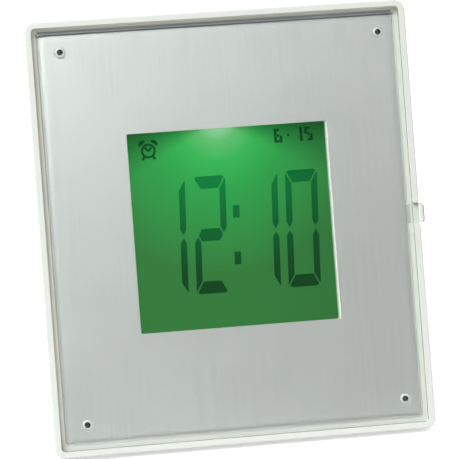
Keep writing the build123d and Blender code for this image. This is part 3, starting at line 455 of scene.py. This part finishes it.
@dataclass(frozen=True)
class Backlit(Finish):
    """Liquid-crystal cell lit from one green lamp at its top edge through a light guide.

    The glow falls off with distance from the lamp, and drops outside the lamp's cone, so the upper
    corners are dim.
    """

    lamp: Pair = (-2.2, 28.0)
    reach: float = 55.0
    fall: Stops = ((0.03, "92D0A0"), (1.0, "367A3C"), (0.1, "60BE70"), (0.19, "3AB558"),
                   (0.33, "32A24D"), (0.51, "349246"), (0.73, "367B3D"))
    cone: Pair = (-0.1, -0.5)
    cone_dim: float = 0.36
    side: Pair = (4.0, 26.0)
    side_dim: float = 0.9
    strength: float = 1.08
    film: str = "040A06"
    film_gloss: float = 0.06
    film_roughness: float = 0.45
    film_ior: float = 1.5

    def glow(self, tree: Tree) -> Socket:
        """Add nodes for the light of the guide: colour by distance, dimmed outside the cone.

        Args:
            tree: Node tree of the material.

        Returns:
            Socket of the glow's colour.
        """
        centre = (-(FACE.shift + self.lamp[0]) * MM, 0.0, -(FACE.centre + self.lamp[1]) * MM)
        place = add_node(tree, "ShaderNodeMapping", {
            "Vector": FACE.coordinates(tree), "Location": centre, "Scale": (1.0, 0.0, 1.0)})
        length = add_node(tree, "ShaderNodeVectorMath", {0: place.outputs[0]}, operation="LENGTH")
        far = length.outputs["Value"]
        share = add_node(tree, "ShaderNodeMath", {0: far, 1: self.reach * MM}, operation="DIVIDE")
        ramp = add_node(tree, "ShaderNodeValToRGB", {0: share.outputs[0]}, stops=self.fall)
        axes = add_node(tree, "ShaderNodeSeparateXYZ", {0: place.outputs[0]})
        slant = add_node(tree, "ShaderNodeMath", {0: axes.outputs[2], 1: far}, operation="DIVIDE")
        cone = add_node(tree, "ShaderNodeMapRange", {
            "Value": slant.outputs[0], "From Min": self.cone[0], "From Max": self.cone[1],
            "To Min": self.cone_dim, "To Max": 1.0})
        side = add_node(tree, "ShaderNodeMapRange", {
            "Value": axes.outputs[0], "From Min": self.side[0] * MM, "From Max": self.side[1] * MM,
            "To Min": 1.0, "To Max": self.side_dim})
        dim = add_node(tree, "ShaderNodeMath", {0: cone.outputs[0], 1: side.outputs[0]},
                       operation="MULTIPLY")
        return add_node(tree, "ShaderNodeVectorMath", {0: ramp.outputs[0], 1: dim.outputs[0]},
                        operation="MULTIPLY").outputs[0]

    def light(self, tree: Tree) -> Socket:
        """Let the whole glow through."""
        return self.glow(tree)

    def surface(self, tree: Tree) -> Socket:
        """Shine under a matt polarising film."""
        return add_node(tree, "ShaderNodeBsdfPrincipled", {
            "Base Color": linear(self.film), "Roughness": self.film_roughness,
            "IOR": self.film_ior, "Specular IOR Level": self.film_gloss,
            "Emission Color": self.light(tree), "Emission Strength": self.strength}).outputs[0]


@dataclass(frozen=True)
class BacklitBars(Backlit):
    """Switched bars of the cell: they hold back most of the glow, least half way to the lamp."""

    span: Pair = (-14.0, 24.0)
    tint: Stops = ((0.0, "6C948E"), (0.85, "5C8C84"), (0.6, "64C0C8"), (0.7, "64C0C8"))

    def light(self, tree: Tree) -> Socket:
        """Filter the glow through a tint that clears up to the digits' tops and is dense above."""
        axes = add_node(tree, "ShaderNodeSeparateXYZ", {0: FACE.coordinates(tree)})
        low, high = ((FACE.centre + height) * MM for height in self.span)
        rise = add_node(tree, "ShaderNodeMapRange", {
            "Value": axes.outputs[2], "From Min": low, "From Max": high})
        tint = add_node(tree, "ShaderNodeValToRGB", {0: rise.outputs[0]}, stops=self.tint)
        return add_node(tree, "ShaderNodeMix", {
            SHARE: 1.0, FIRST: self.glow(tree), SECOND: tint.outputs[0]},
            data_type="RGBA", blend_type="MULTIPLY").outputs[MIXED]


@dataclass(frozen=True)
class DrawnMetal(Finish):
    """Rolled or drawn metal: a metal gloss broken by fine scratches along its length."""

    colour: str
    shade: str
    roughness: float = 0.28
    rough_range: Pair = (-0.08, 0.1)
    scratch_width: float = 0.25
    scratch_length: float = 6.0

    def surface(self, tree: Tree) -> Socket:
        """Stretch noise along X for the drawing marks, in shade and in gloss."""
        place = add_node(tree, "ShaderNodeTexCoord").outputs["Object"]
        length, width = per_mm(self.scratch_length), per_mm(self.scratch_width)
        along = add_node(tree, "ShaderNodeMapping", {
            "Vector": place, "Scale": (length, width, width)})
        marks = add_node(tree, "ShaderNodeTexNoise", {
            "Vector": along.outputs[0], "Scale": 1.0, "Detail": 3.0})
        tone = add_node(tree, "ShaderNodeMix", {
            SHARE: marks.outputs[0], FIRST: linear(self.colour), SECOND: linear(self.shade)},
            data_type="RGBA")
        rough = add_node(tree, "ShaderNodeMapRange", {
            "Value": marks.outputs[0], "To Min": self.roughness + self.rough_range[0],
            "To Max": self.roughness + self.rough_range[1]})
        return add_node(tree, "ShaderNodeBsdfPrincipled", {
            "Base Color": tone.outputs[MIXED], "Metallic": 1.0,
            "Roughness": rough.outputs[0]}).outputs[0]


@dataclass(frozen=True)
class StripedRubber(Finish):
    """Silicone rubber in conducting and insulating layers: matt, with stripes across it.

    The real layers are 0.05 mm apart, and are drawn coarser here so that they show.
    """

    dark: str = "1C1C1E"
    pale: str = "8E8C86"
    pitch: float = 0.6
    waver: float = 0.4
    roughness: float = 0.75
    ior: float = 1.41

    def surface(self, tree: Tree) -> Socket:
        """Run a wave along X and turn it into two shades."""
        place = add_node(tree, "ShaderNodeTexCoord").outputs["Object"]
        wave = add_node(tree, "ShaderNodeTexWave", {
            "Vector": place, "Scale": per_mm(self.pitch) * WAVE_LENGTH, "Distortion": self.waver})
        tone = add_node(tree, "ShaderNodeMix", {
            SHARE: wave.outputs[0], FIRST: linear(self.dark), SECOND: linear(self.pale)},
            data_type="RGBA")
        return add_node(tree, "ShaderNodeBsdfPrincipled", {
            "Base Color": tone.outputs[MIXED], "Roughness": self.roughness,
            "IOR": self.ior}).outputs[0]


@dataclass(frozen=True)
class BoardLaminate(Finish):
    """Glass-cloth laminate under green lacquer: copper tracks show through as paler lines."""

    lacquer: str = "1E5A34"
    track: str = "3C8A50"
    pitch: float = 3.2
    unevenness: float = 0.7
    track_edge: Pair = (0.42, 0.46)
    copper: float = 0.03
    bump: float = 0.5
    roughness: float = 0.3
    ior: float = 1.55

    def surface(self, tree: Tree) -> Socket:
        """Draw the tracks as the borders of square cells that vary in size."""
        place = FACE.coordinates(tree)
        cells = add_node(tree, "ShaderNodeTexVoronoi", {
            "Vector": place, "Scale": per_mm(self.pitch), "Randomness": self.unevenness},
            distance="CHEBYCHEV", feature="F1")
        lines = add_node(tree, "ShaderNodeMapRange", {
            "Value": cells.outputs[0], "From Min": self.track_edge[0],
            "From Max": self.track_edge[1]})
        tone = add_node(tree, "ShaderNodeMix", {
            SHARE: lines.outputs[0], FIRST: linear(self.lacquer), SECOND: linear(self.track)},
            data_type="RGBA")
        bump = add_node(tree, "ShaderNodeBump", {
            "Strength": self.bump, "Distance": self.copper * MM, "Height": lines.outputs[0]})
        return add_node(tree, "ShaderNodeBsdfPrincipled", {
            "Base Color": tone.outputs[MIXED], "Roughness": self.roughness, "IOR": self.ior,
            "Normal": bump.outputs[0]}).outputs[0]


@dataclass(frozen=True)
class CellJacket(Finish):
    """Printed sleeve of a dry cell: plain dark body, band at one end, bare metal at the tips."""

    dark: str = "22303C"
    band: str = "8A6F46"
    metal: str = "B9BAB8"
    band_place: float = 12.0
    metal_place: float = 21.4
    roughness: float = 0.3

    def surface(self, tree: Tree) -> Socket:
        """Switch the shade by the distance along the cell from the middle of the bay."""
        axes = add_node(tree, "ShaderNodeSeparateXYZ", {0: FACE.coordinates(tree)})
        far = add_node(tree, "ShaderNodeMath", {0: axes.outputs[0]}, operation="ABSOLUTE")
        banded = add_node(tree, "ShaderNodeMath", {0: axes.outputs[0], 1: self.band_place * MM},
                          operation="GREATER_THAN")
        bare = add_node(tree, "ShaderNodeMath", {0: far.outputs[0], 1: self.metal_place * MM},
                        operation="GREATER_THAN")
        sleeve = add_node(tree, "ShaderNodeMix", {
            SHARE: banded.outputs[0], FIRST: linear(self.dark), SECOND: linear(self.band)},
            data_type="RGBA")
        tone = add_node(tree, "ShaderNodeMix", {
            SHARE: bare.outputs[0], FIRST: sleeve.outputs[MIXED], SECOND: linear(self.metal)},
            data_type="RGBA")
        return add_node(tree, "ShaderNodeBsdfPrincipled", {
            "Base Color": tone.outputs[MIXED], "Metallic": bare.outputs[0],
            "Roughness": self.roughness}).outputs[0]


FINISHES: dict[Slot, Finish] = {
    # Moulded ABS with a satin tool finish: an even white with a soft broad gloss.
    Slot.WHITE_CASE: CaseMoulding("white_moulded_abs", "EEF1EC", "E9ECE6"),
    # Cast acrylic with polished faces: clear, with bright lines where its bevels bend the light.
    Slot.CLEAR_ACRYLIC: ClearAcrylic("clear_cast_acrylic"),
    # Rolled foil on card: silver that goes from pale to grey as it turns from the lamp.
    Slot.SILVER_CARD: FoilCard("satin_silver_foil_card"),
    # Glass behind a matt film: no mirror image, only the green light from behind.
    Slot.DISPLAY_GLASS: Backlit("green_lit_display_glass"),
    # Crystal that is switched on: a dark green pane, darker far from the lamp.
    Slot.DISPLAY_BARS: BacklitBars("switched_display_bars"),
    # Acrylic with an etched back: it looks milky, and glows where the lamp feeds it.
    Slot.FROSTED_ACRYLIC: MouldedPlastic("frosted_acrylic_guide", "DCEBDD", "C9DDCB",
                                         roughness=0.55, ior=1.49),
    # Filled polyester film: a dead matt, very white sheet.
    Slot.WHITE_SHEET: MouldedPlastic("white_polyester_film", "F4F4F2", "EEEEEB", roughness=0.8),
    # Clear epoxy tinted green: a glossy little block.
    Slot.GREEN_LAMP: MouldedPlastic("green_tinted_epoxy", "7CD68A", "66C476", roughness=0.15,
                                    ior=1.55),
    # Pressed silicone layers: matt, dark and pale by turns.
    Slot.CONTACT_RUBBER: StripedRubber("layered_contact_rubber"),
    # Lacquered laminate: a glossy green with raised paler tracks.
    Slot.BOARD_LAMINATE: BoardLaminate("green_lacquered_laminate"),
    # Poured epoxy: black, glossy, with a slow swell of its surface.
    Slot.BLACK_RESIN: MouldedPlastic("poured_black_epoxy", "0D0D0E", "151516", roughness=0.14,
                                     grain=3.0, relief=0.08, ior=1.55),
    # Drawn steel with dull nickel plating: grey, bright along its edges.
    Slot.PLATED_STEEL: DrawnMetal("nickel_plated_steel", "B9B8B3", "A3A29D"),
    # Glass-filled polyester: matt black with a slight grain.
    Slot.SWITCH_BODY: MouldedPlastic("black_moulded_polyester", "202022", "19191B", roughness=0.5),
    # Moulded ABS in grey: satin, with polished crowns.
    Slot.GREY_KEY: MouldedPlastic("grey_moulded_abs", "A8ACAC", "A0A4A4", roughness=0.33),
    # Rolled brass: a warm metal with rolling marks.
    Slot.BUZZER_BRASS: DrawnMetal("rolled_brass", "D2AC5C", "BE9748", roughness=0.32),
    # Extruded soft vinyl: red, with a waxy gloss.
    Slot.LEAD_COVER: MouldedPlastic("red_soft_vinyl", "A8201A", "961A15", roughness=0.42),
    # Shrunk plastic sleeve: glossy, with the cell's steel bare at both ends.
    Slot.CELL_JACKET: CellJacket("printed_cell_sleeve"),
}
# Ink pressed on with a soft pad: a dark grey film, duller than the key below it.
PRINT_INK = MouldedPlastic("dark_grey_pad_ink", "4A4E50", "44484A", roughness=0.55)


@dataclass
class Shell:
    """Closed surface in the drawing frame: its points in millimetres and its faces."""

    points: np.ndarray
    faces: list[list[int]]


def prism(outline: np.ndarray, front: float, back: float) -> Shell:
    """Carry an outline on the face straight back, with a cap at each end.

    Args:
        outline: Corners as x and z, in millimetres, anticlockwise seen from the front.
        front: Depth of the front cap.
        back: Depth of the back cap.

    Returns:
        Closed prism with outward faces.
    """
    count = len(outline)
    ends = [np.column_stack((outline[:, 0], np.full(count, depth), outline[:, 1]))
            for depth in (front, back)]
    here = np.arange(count)
    after = np.roll(here, -1)
    sides = np.column_stack((here, here + count, after + count, after)).tolist()
    return Shell(np.concatenate(ends), sides + [here.tolist(), (here[::-1] + count).tolist()])


def hoop(middle: Pair, radii: Pair, depths: Pair, steps: int = 48) -> Shell:
    """Turn a rectangle about a line square to the face.

    A point of the hoop is the middle plus its radius times the cosine and sine of the angle, at one
    of two depths; the four corners of the section close on themselves.

    Args:
        middle: Centre as x and z, in millimetres.
        radii: Inner and outer radius.
        depths: Depths of the front and the back face.
        steps: Number of points round the hoop.

    Returns:
        Closed ring with outward faces.
    """
    (inner, outer), (front, back) = radii, depths
    angle = np.linspace(0, 2 * np.pi, steps, endpoint=False)
    radius = np.array([outer, outer, inner, inner])[:, None]
    depth = np.array([front, back, back, front])[:, None]
    grid = np.stack((middle[0] + radius * np.cos(angle), depth + 0 * angle,
                     middle[1] + radius * np.sin(angle)), axis=2)
    index = np.arange(4 * steps).reshape(4, steps)
    down, right = np.roll(index, -1, axis=0), np.roll(index, -1, axis=1)
    corner = np.roll(down, -1, axis=1)
    faces = np.stack((index, down, corner, right), axis=2).reshape(-1, 4).tolist()
    return Shell(grid.reshape(-1, 3), faces)


def disc(middle: Pair, radii: Pair, span: Pair = (0.0, 360.0), turn: float = 0.0,
         steps: int = 32) -> np.ndarray:
    """Return the outline of an ellipse or of a part of one.

    A corner is the middle plus the two radii times the cosine and sine of the angle, turned.

    Args:
        middle: Centre as x and z, in millimetres.
        radii: Half width and half height.
        span: First and last angle in degrees.
        turn: Turn of the whole outline in degrees.
        steps: Number of corners.

    Returns:
        Corners, anticlockwise.
    """
    whole = span[1] - span[0] >= 360
    angle = np.radians(np.linspace(*span, steps, endpoint=not whole))
    x, z = radii[0] * np.cos(angle), radii[1] * np.sin(angle)
    lean = math.radians(turn)
    return np.column_stack((middle[0] + x * math.cos(lean) - z * math.sin(lean),
                            middle[1] + x * math.sin(lean) + z * math.cos(lean)))


def stroke(start: Pair, end: Pair, width: float) -> np.ndarray:
    """Return the outline of a straight stroke: a rectangle of a width along a line.

    Args:
        start: First end as x and z, in millimetres.
        end: Other end.
        width: Width of the stroke.

    Returns:
        Four corners, anticlockwise.
    """
    first, last = np.array(start), np.array(end)
    along = (last - first) / np.linalg.norm(last - first)
    across = np.array([-along[1], along[0]]) * width / 2
    return np.array([first - across, last - across, last + across, first + across])


def add_mesh(name: str, points: np.ndarray, faces: list[list[int]],
             material: bpy.types.Material) -> bpy.types.Object:
    """Put a mesh object with one material into the scene and return it."""
    mesh = bpy.data.meshes.new(name)
    mesh.from_pydata(points, [], faces)
    mesh.materials.append(material)
    made = bpy.data.objects.new(name, mesh)
    bpy.context.scene.collection.objects.link(made)
    return made


def place_piece(name: str, shells: Sequence[Shell], body: Body,
                material: bpy.types.Material) -> None:
    """Put closed shells into one mesh object that rides a body.

    Args:
        name: Name of the piece.
        shells: Closed surfaces in the drawing frame.
        body: Body that the piece moves with.
        material: Finish of the piece.
    """
    starts = np.cumsum([0] + [len(shell.points) for shell in shells]).tolist()
    faces = [[corner + start for corner in face] for shell, start in zip(shells, starts)
             for face in shell.faces]
    points = FACE.to_world(np.concatenate([shell.points for shell in shells]))
    piece = add_mesh(name, points, faces, material)
    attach(piece, body.value)
    log.info("piece %s: %d faces on body %s", name, len(faces), body.value)


@dataclass
class Assembly:
    """Sub-assembly of CAD nodes that wear the finishes of their slots."""

    nodes: tuple[str, ...] = ()

    def build(self, materials: Materials) -> None:
        """Give each CAD node the finish of its slot in the record.

        Args:
            materials: Material of each slot.
        """
        slots = {row["node"]: Slot(row["material_slot"]) for row in frame["record"]["subparts"]}
        for node in self.nodes:
            piece = frame["nodes"][node]
            piece.data.materials.clear()
            piece.data.materials.append(materials[slots[node]])
            log.info("node %s wears %s", node, materials[slots[node]].name)


@dataclass
class Case(Assembly):
    """White case: both shells, leg, hinge pin and screws, and the battery door with its arrow."""

    nodes: tuple[str, ...] = ("front_case", "rear_cover", "stand_leg", "hinge_pin", "case_screws",
                              "battery_door")
    arrow_foot: float = 103.0
    arrow_rise: float = 4.6
    arrow_half: float = 3.6
    arrow_height: float = 0.35
    arrow_root: float = 0.05

    def build(self, materials: Materials) -> None:
        """Dress the case and put a raised arrow on the door, pointing the way it slides."""
        super().build(materials)
        foot, half = self.arrow_foot, self.arrow_half
        arrow = np.array([(-half, foot), (half, foot), (0.0, foot + self.arrow_rise)])
        raised = prism(arrow, FACE.back - self.arrow_root, FACE.back + self.arrow_height)
        place_piece("door_arrow", [raised], Body.DOOR, materials[Slot.WHITE_CASE])


@dataclass
class Front(Assembly):
    """Clear cover and the silver card behind it."""

    nodes: tuple[str, ...] = ("clear_cover", "insert_card")


@dataclass
class Display(Assembly):
    """Lit display and what stands behind it, with an alarm mark and small numerals on its glass."""

    nodes: tuple[str, ...] = ("display_glass", "display_segments", "display_frame", "light_guide",
                              "reflector_sheet", "backlight_lamp", "contact_strip")
    mark_depths: Pair = (5.65, 5.71)
    mark_place: Pair = (-20.7, 21.5)
    mark_radius: float = 1.95
    mark_line: float = 0.58
    bell_place: Pair = (1.5, 1.85)
    bell_radii: Pair = (1.1, 0.95)
    bell_turn: float = 39.0
    foot_root: Pair = (1.1, 0.45)
    foot_tip: Pair = (1.65, -0.35)
    foot_share: float = 1.2
    hand_root: float = -0.1
    hand_tip: Pair = (0.85, 0.95)
    numerals: str = "6-15"
    numeral_left: float = 12.7
    numeral_foot: float = 21.3
    numeral_height: float = 3.7
    numeral_width: float = 2.15
    numeral_pitch: float = 2.7
    numeral_line: float = 0.7
    numeral_gap: float = 0.06

    def alarm_mark(self) -> list[np.ndarray]:
        """Return the outlines of an alarm clock's bells, feet and hands."""
        x, z = self.mark_place
        line, base, sides = self.mark_line, z - self.mark_radius, (-1, 1)
        bells = [disc((x + side * self.bell_place[0], z + self.bell_place[1]), self.bell_radii,
                      (0.0, 180.0), -side * self.bell_turn) for side in sides]
        feet = [stroke((x + side * self.foot_root[0], base + self.foot_root[1]),
                       (x + side * self.foot_tip[0], base + self.foot_tip[1]),
                       self.foot_share * line) for side in sides]
        hands = [stroke((x, z + self.hand_root),
                        (x + side * self.hand_tip[0], z + self.hand_tip[1]), line)
                 for side in sides]
        return bells + feet + hands

    def bar(self, name: str, left: float) -> np.ndarray:
        """Return the outline of one of a small numeral's seven bars.

        Args:
            name: Letter of the bar.
            left: Left edge of the numeral.

        Returns:
            Corners, anticlockwise.
        """
        foot, gap, half = self.numeral_foot, self.numeral_gap, self.numeral_line / 2
        top, middle = foot + self.numeral_height, foot + self.numeral_height / 2
        right = left + self.numeral_width
        levels = {"a": top - half, "g": middle, "d": foot + half}
        if name in levels:
            inset = half * 2 + gap
            return stroke((left + inset, levels[name]), (right - inset, levels[name]),
                          self.numeral_line)
        x = right - half if name in "bc" else left + half
        ends = (middle + gap, top) if name in "bf" else (foot, middle - gap)
        return stroke((x, ends[0]), (x, ends[1]), self.numeral_line)

    def build(self, materials: Materials) -> None:
        """Dress the display and put the small marks on its glass."""
        super().build(materials)
        x, z = self.mark_place
        shift = np.array([FACE.shift, FACE.centre])
        ring = hoop((x + FACE.shift, z + FACE.centre),
                    (self.mark_radius - self.mark_line, self.mark_radius), self.mark_depths)
        marks = [prism(outline + shift, *self.mark_depths) for outline in self.alarm_mark()]
        place_piece("alarm_mark", [ring] + marks, Body.CASE,
                    materials[Slot.DISPLAY_BARS])
        lefts = [(sign, self.numeral_left + step * self.numeral_pitch)
                 for step, sign in enumerate(self.numerals)]
        bars = [prism(self.bar(name, left) + shift, *self.mark_depths)
                for sign, left in lefts for name in LIT_BARS[sign]]
        place_piece("small_numerals", bars, Body.CASE,
                    materials[Slot.DISPLAY_BARS])


@dataclass
class Works(Assembly):
    """Circuit board and what is soldered to it."""

    nodes: tuple[str, ...] = ("circuit_board", "chip_blob", "quartz_crystal", "board_screws",
                              "key_switches", "alarm_switch", "buzzer", "buzzer_leads")


@dataclass
class Keys(Assembly):
    """Keys and slider on the back, with a printed sign on each key."""

    nodes: tuple[str, ...] = ("mode_key", "set_key", "up_key", "down_key", "light_key",
                              "alarm_slider")
    column: float = 31.7
    top: float = 66.0
    pitch: float = 10.0
    crown: float = 27.0
    ink: float = 0.02
    root: float = 0.05
    half: float = 1.2
    triangle_foot: float = 0.8
    bar_line: float = 0.45
    bar_pitch: float = 0.75
    dot: float = 0.8
    lamp: float = 0.7
    ray_reach: Pair = (1.05, 1.7)
    ray_line: float = 0.3
    ray_step: int = 45

    def signs(self) -> dict[Body, list[np.ndarray]]:
        """Return the outlines of each key's sign: bars, dot, two triangles, and lamp with rays."""
        x, half, foot = self.column, self.half, self.half * self.triangle_foot
        first, second, third, fourth = (self.top - step * self.pitch for step in range(4))
        up = np.array([(x - half, third - foot), (x + half, third - foot), (x, third + half)])
        down = np.array([(x - half, fourth + foot), (x, fourth - half), (x + half, fourth + foot)])
        bars = [stroke((x - half, first + rise), (x + half, first + rise), self.bar_line)
                for rise in (-self.bar_pitch, 0.0, self.bar_pitch)]
        rays = []
        for turn in np.radians(np.arange(0, 360, self.ray_step)).tolist():
            near, far = ((-x + reach * math.cos(turn), first + reach * math.sin(turn))
                         for reach in self.ray_reach)
            rays.append(stroke(near, far, self.ray_line))
        return {
            Body.MODE: bars,
            Body.SET: [disc((x, second), (self.dot, self.dot))],
            Body.UP: [up],
            Body.DOWN: [down],
            Body.LIGHT: rays + [disc((-x, first), (self.lamp, self.lamp))],
        }

    def build(self, materials: Materials) -> None:
        """Dress the keys and print their signs."""
        super().build(materials)
        ink = PRINT_INK.material()
        for body, outlines in self.signs().items():
            shells = [prism(outline, self.crown - self.root, self.crown + self.ink)
                      for outline in outlines]
            place_piece(f"{body.value}_key_sign", shells, body, ink)


@dataclass
class Power(Assembly):
    """Cells with their contacts, springs and leads."""

    nodes: tuple[str, ...] = ("upper_cell", "lower_cell", "battery_contacts", "contact_springs",
                              "battery_leads")


@dataclass
class Studio:
    """Pale floor, white surround, soft lamps, a grey wall and the camera.

    Places are in metres, powers in watts, turns in degrees, lens and sensor in millimetres.
    """

    camera_place: Point = (-0.04934, -0.48768, 0.18270)
    camera_turn: Point = (75.391, 2.723, -6.436)
    lens: float = 151.92
    sensor: float = 36.0
    clip_start: float = 0.01
    white: str = "FFFFFF"
    room_light: float = 0.62
    key_place: Point = (-0.53, -0.77, 1.05)
    key_size: float = 0.55
    key_power: float = 12.5
    fill_place: Point = (0.5, 1.0, 0.8)
    fill_size: float = 0.9
    fill_power: float = 3.5
    floor_half: float = 6.0
    floor_colour: str = "E6E6E6"
    floor_roughness: float = 0.9
    floor_lift: float = 0.5
    wall_depth: float = -0.75
    wall_half: float = 0.9
    wall_top: float = 0.9
    wall_foot: float = -0.2
    wall_rise: float = 0.001
    wall_dark: Pair = (0.1, 0.24)
    wall_reach: float = 0.6
    wall_greys: Stops = ((0.2, "1C1D20"), (1.0, "B4B6B6"))

    def build(self) -> None:
        """Set up the view, the camera, the lamps, the surround, the floor and the wall."""
        scene = bpy.context.scene
        scene.view_settings.view_transform = "Standard"
        self.add_camera(scene)
        self.add_lamp(scene, "key_lamp", self.key_place, self.key_size, self.key_power)
        self.add_lamp(scene, "fill_lamp", self.fill_place, self.fill_size, self.fill_power)
        self.light_room(scene)
        self.add_floor()
        self.add_wall()

    def add_camera(self, scene: bpy.types.Scene) -> None:
        """Put the camera at the photograph's place and angle."""
        camera = bpy.data.cameras.new("camera")
        camera.lens, camera.sensor_width = self.lens, self.sensor
        camera.clip_start = self.clip_start
        holder = bpy.data.objects.new("camera", camera)
        holder.location = self.camera_place
        holder.rotation_euler = [math.radians(turn) for turn in self.camera_turn]
        scene.collection.objects.link(holder)
        scene.camera = holder

    def add_lamp(self, scene: bpy.types.Scene, name: str, place: Point, size: float,
                 power: float) -> None:
        """Hang a soft round lamp, turned to the clock.

        Args:
            scene: Scene that the lamp goes into.
            name: Name of the lamp.
            place: Where it hangs.
            size: Its diameter.
            power: Its power.
        """
        lamp = bpy.data.lights.new(name, "AREA")
        lamp.shape, lamp.size, lamp.energy = "DISK", size, power
        holder = bpy.data.objects.new(name, lamp)
        holder.location = place
        aim = Vector((0.0, 0.0, 0.05)) - Vector(place)
        holder.rotation_euler = aim.to_track_quat("-Z", "Y").to_euler()
        scene.collection.objects.link(holder)

    def seen(self, tree: Tree) -> Socket:
        """Add nodes that give 1 to the eye, to gloss and to glass, and 0 to light on its way."""
        path = add_node(tree, "ShaderNodeLightPath")
        direct = add_node(tree, "ShaderNodeMath", {
            0: path.outputs["Is Camera Ray"], 1: path.outputs["Is Glossy Ray"]},
            operation="MAXIMUM")
        return add_node(tree, "ShaderNodeMath", {
            0: direct.outputs[0], 1: path.outputs["Is Transmission Ray"]},
            operation="MAXIMUM").outputs[0]

    def light_room(self, scene: bpy.types.Scene) -> None:
        """Surround the clock with white, full where it is seen, and softer as a light."""
        world = bpy.data.worlds.new("white_room")
        world.use_nodes = True
        tree = world.node_tree
        tree.nodes.clear()
        strength = add_node(tree, "ShaderNodeMapRange", {
            "Value": self.seen(tree), "To Min": self.room_light, "To Max": 1.0})
        room = add_node(tree, "ShaderNodeBackground", {
            "Color": linear(self.white), "Strength": strength.outputs[0]})
        add_node(tree, "ShaderNodeOutputWorld", {"Surface": room.outputs[0]})
        scene.world = world

    def add_floor(self) -> None:
        """Lay a pale floor that keeps the clock's shadow and is lifted to white where seen."""
        half = self.floor_half
        corners = np.array([(-half, -half, 0), (half, -half, 0), (half, half, 0), (-half, half, 0)])
        made = blank_material("pale_paper_floor")
        tree = made.node_tree
        lift = add_node(tree, "ShaderNodeMath", {0: self.seen(tree), 1: self.floor_lift},
                        operation="MULTIPLY")
        paper = add_node(tree, "ShaderNodeBsdfPrincipled", {
            "Base Color": linear(self.floor_colour), "Roughness": self.floor_roughness,
            "Specular IOR Level": 0.0, "Emission Color": linear(self.white),
            "Emission Strength": lift.outputs[0]})
        add_node(tree, "ShaderNodeOutputMaterial", {"Surface": paper.outputs[0]})
        floor = add_mesh("floor", corners, [[0, 1, 2, 3]], made)

    def add_wall(self) -> None:
        """Stand a grey wall behind the camera, darkest round it, for the cover and card to mirror.

        Its foot runs along the floor towards the clock. Only light that the clock has thrown back
        meets it, so that it isn't seen through the cover.
        """
        half, y, low = self.wall_half, self.wall_depth, self.wall_rise
        corners = np.array([
            (-half, self.wall_foot, low), (half, self.wall_foot, low), (half, y, low),
            (-half, y, low), (half, y, self.wall_top), (-half, y, self.wall_top)])
        made = blank_material("grey_studio_wall")
        tree = made.node_tree
        place = add_node(tree, "ShaderNodeTexCoord").outputs["Object"]
        centre = (-self.wall_dark[0], 0.0, -self.wall_dark[1])
        away = add_node(tree, "ShaderNodeMapping", {
            "Vector": place, "Location": centre, "Scale": (1.0, 0.0, 1.0)})
        far = add_node(tree, "ShaderNodeVectorMath", {0: away.outputs[0]}, operation="LENGTH")
        share = add_node(tree, "ShaderNodeMath", {0: far.outputs["Value"], 1: self.wall_reach},
                         operation="DIVIDE")
        ramp = add_node(tree, "ShaderNodeValToRGB", {0: share.outputs[0]}, stops=self.wall_greys)
        grey = add_node(tree, "ShaderNodeEmission", {"Color": ramp.outputs[0]})
        path = add_node(tree, "ShaderNodeLightPath")
        thrown = add_node(tree, "ShaderNodeMath", {
            0: path.outputs["Glossy Depth"], 1: path.outputs["Diffuse Depth"]},
            operation="MAXIMUM", use_clamp=True)
        clear = add_node(tree, "ShaderNodeBsdfTransparent")
        met = add_node(tree, "ShaderNodeMixShader", {
            0: thrown.outputs[0], 1: clear.outputs[0], 2: grey.outputs[0]})
        add_node(tree, "ShaderNodeOutputMaterial", {"Surface": met.outputs[0]})
        wall = add_mesh("grey_wall", corners, [[0, 1, 2, 3], [3, 2, 4, 5]], made)
        wall.visible_camera = False
        wall.visible_shadow = False


def main() -> None:
    """Build every sub-assembly in order, then the studio."""
    logging.basicConfig(level=logging.INFO, format="%(message)s")
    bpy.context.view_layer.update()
    materials = {slot: finish.material() for slot, finish in FINISHES.items()}
    for part in (Case(), Front(), Display(), Works(), Keys(), Power()):
        part.build(materials)
    Studio().build()


if __name__ == "__main__":
    main()
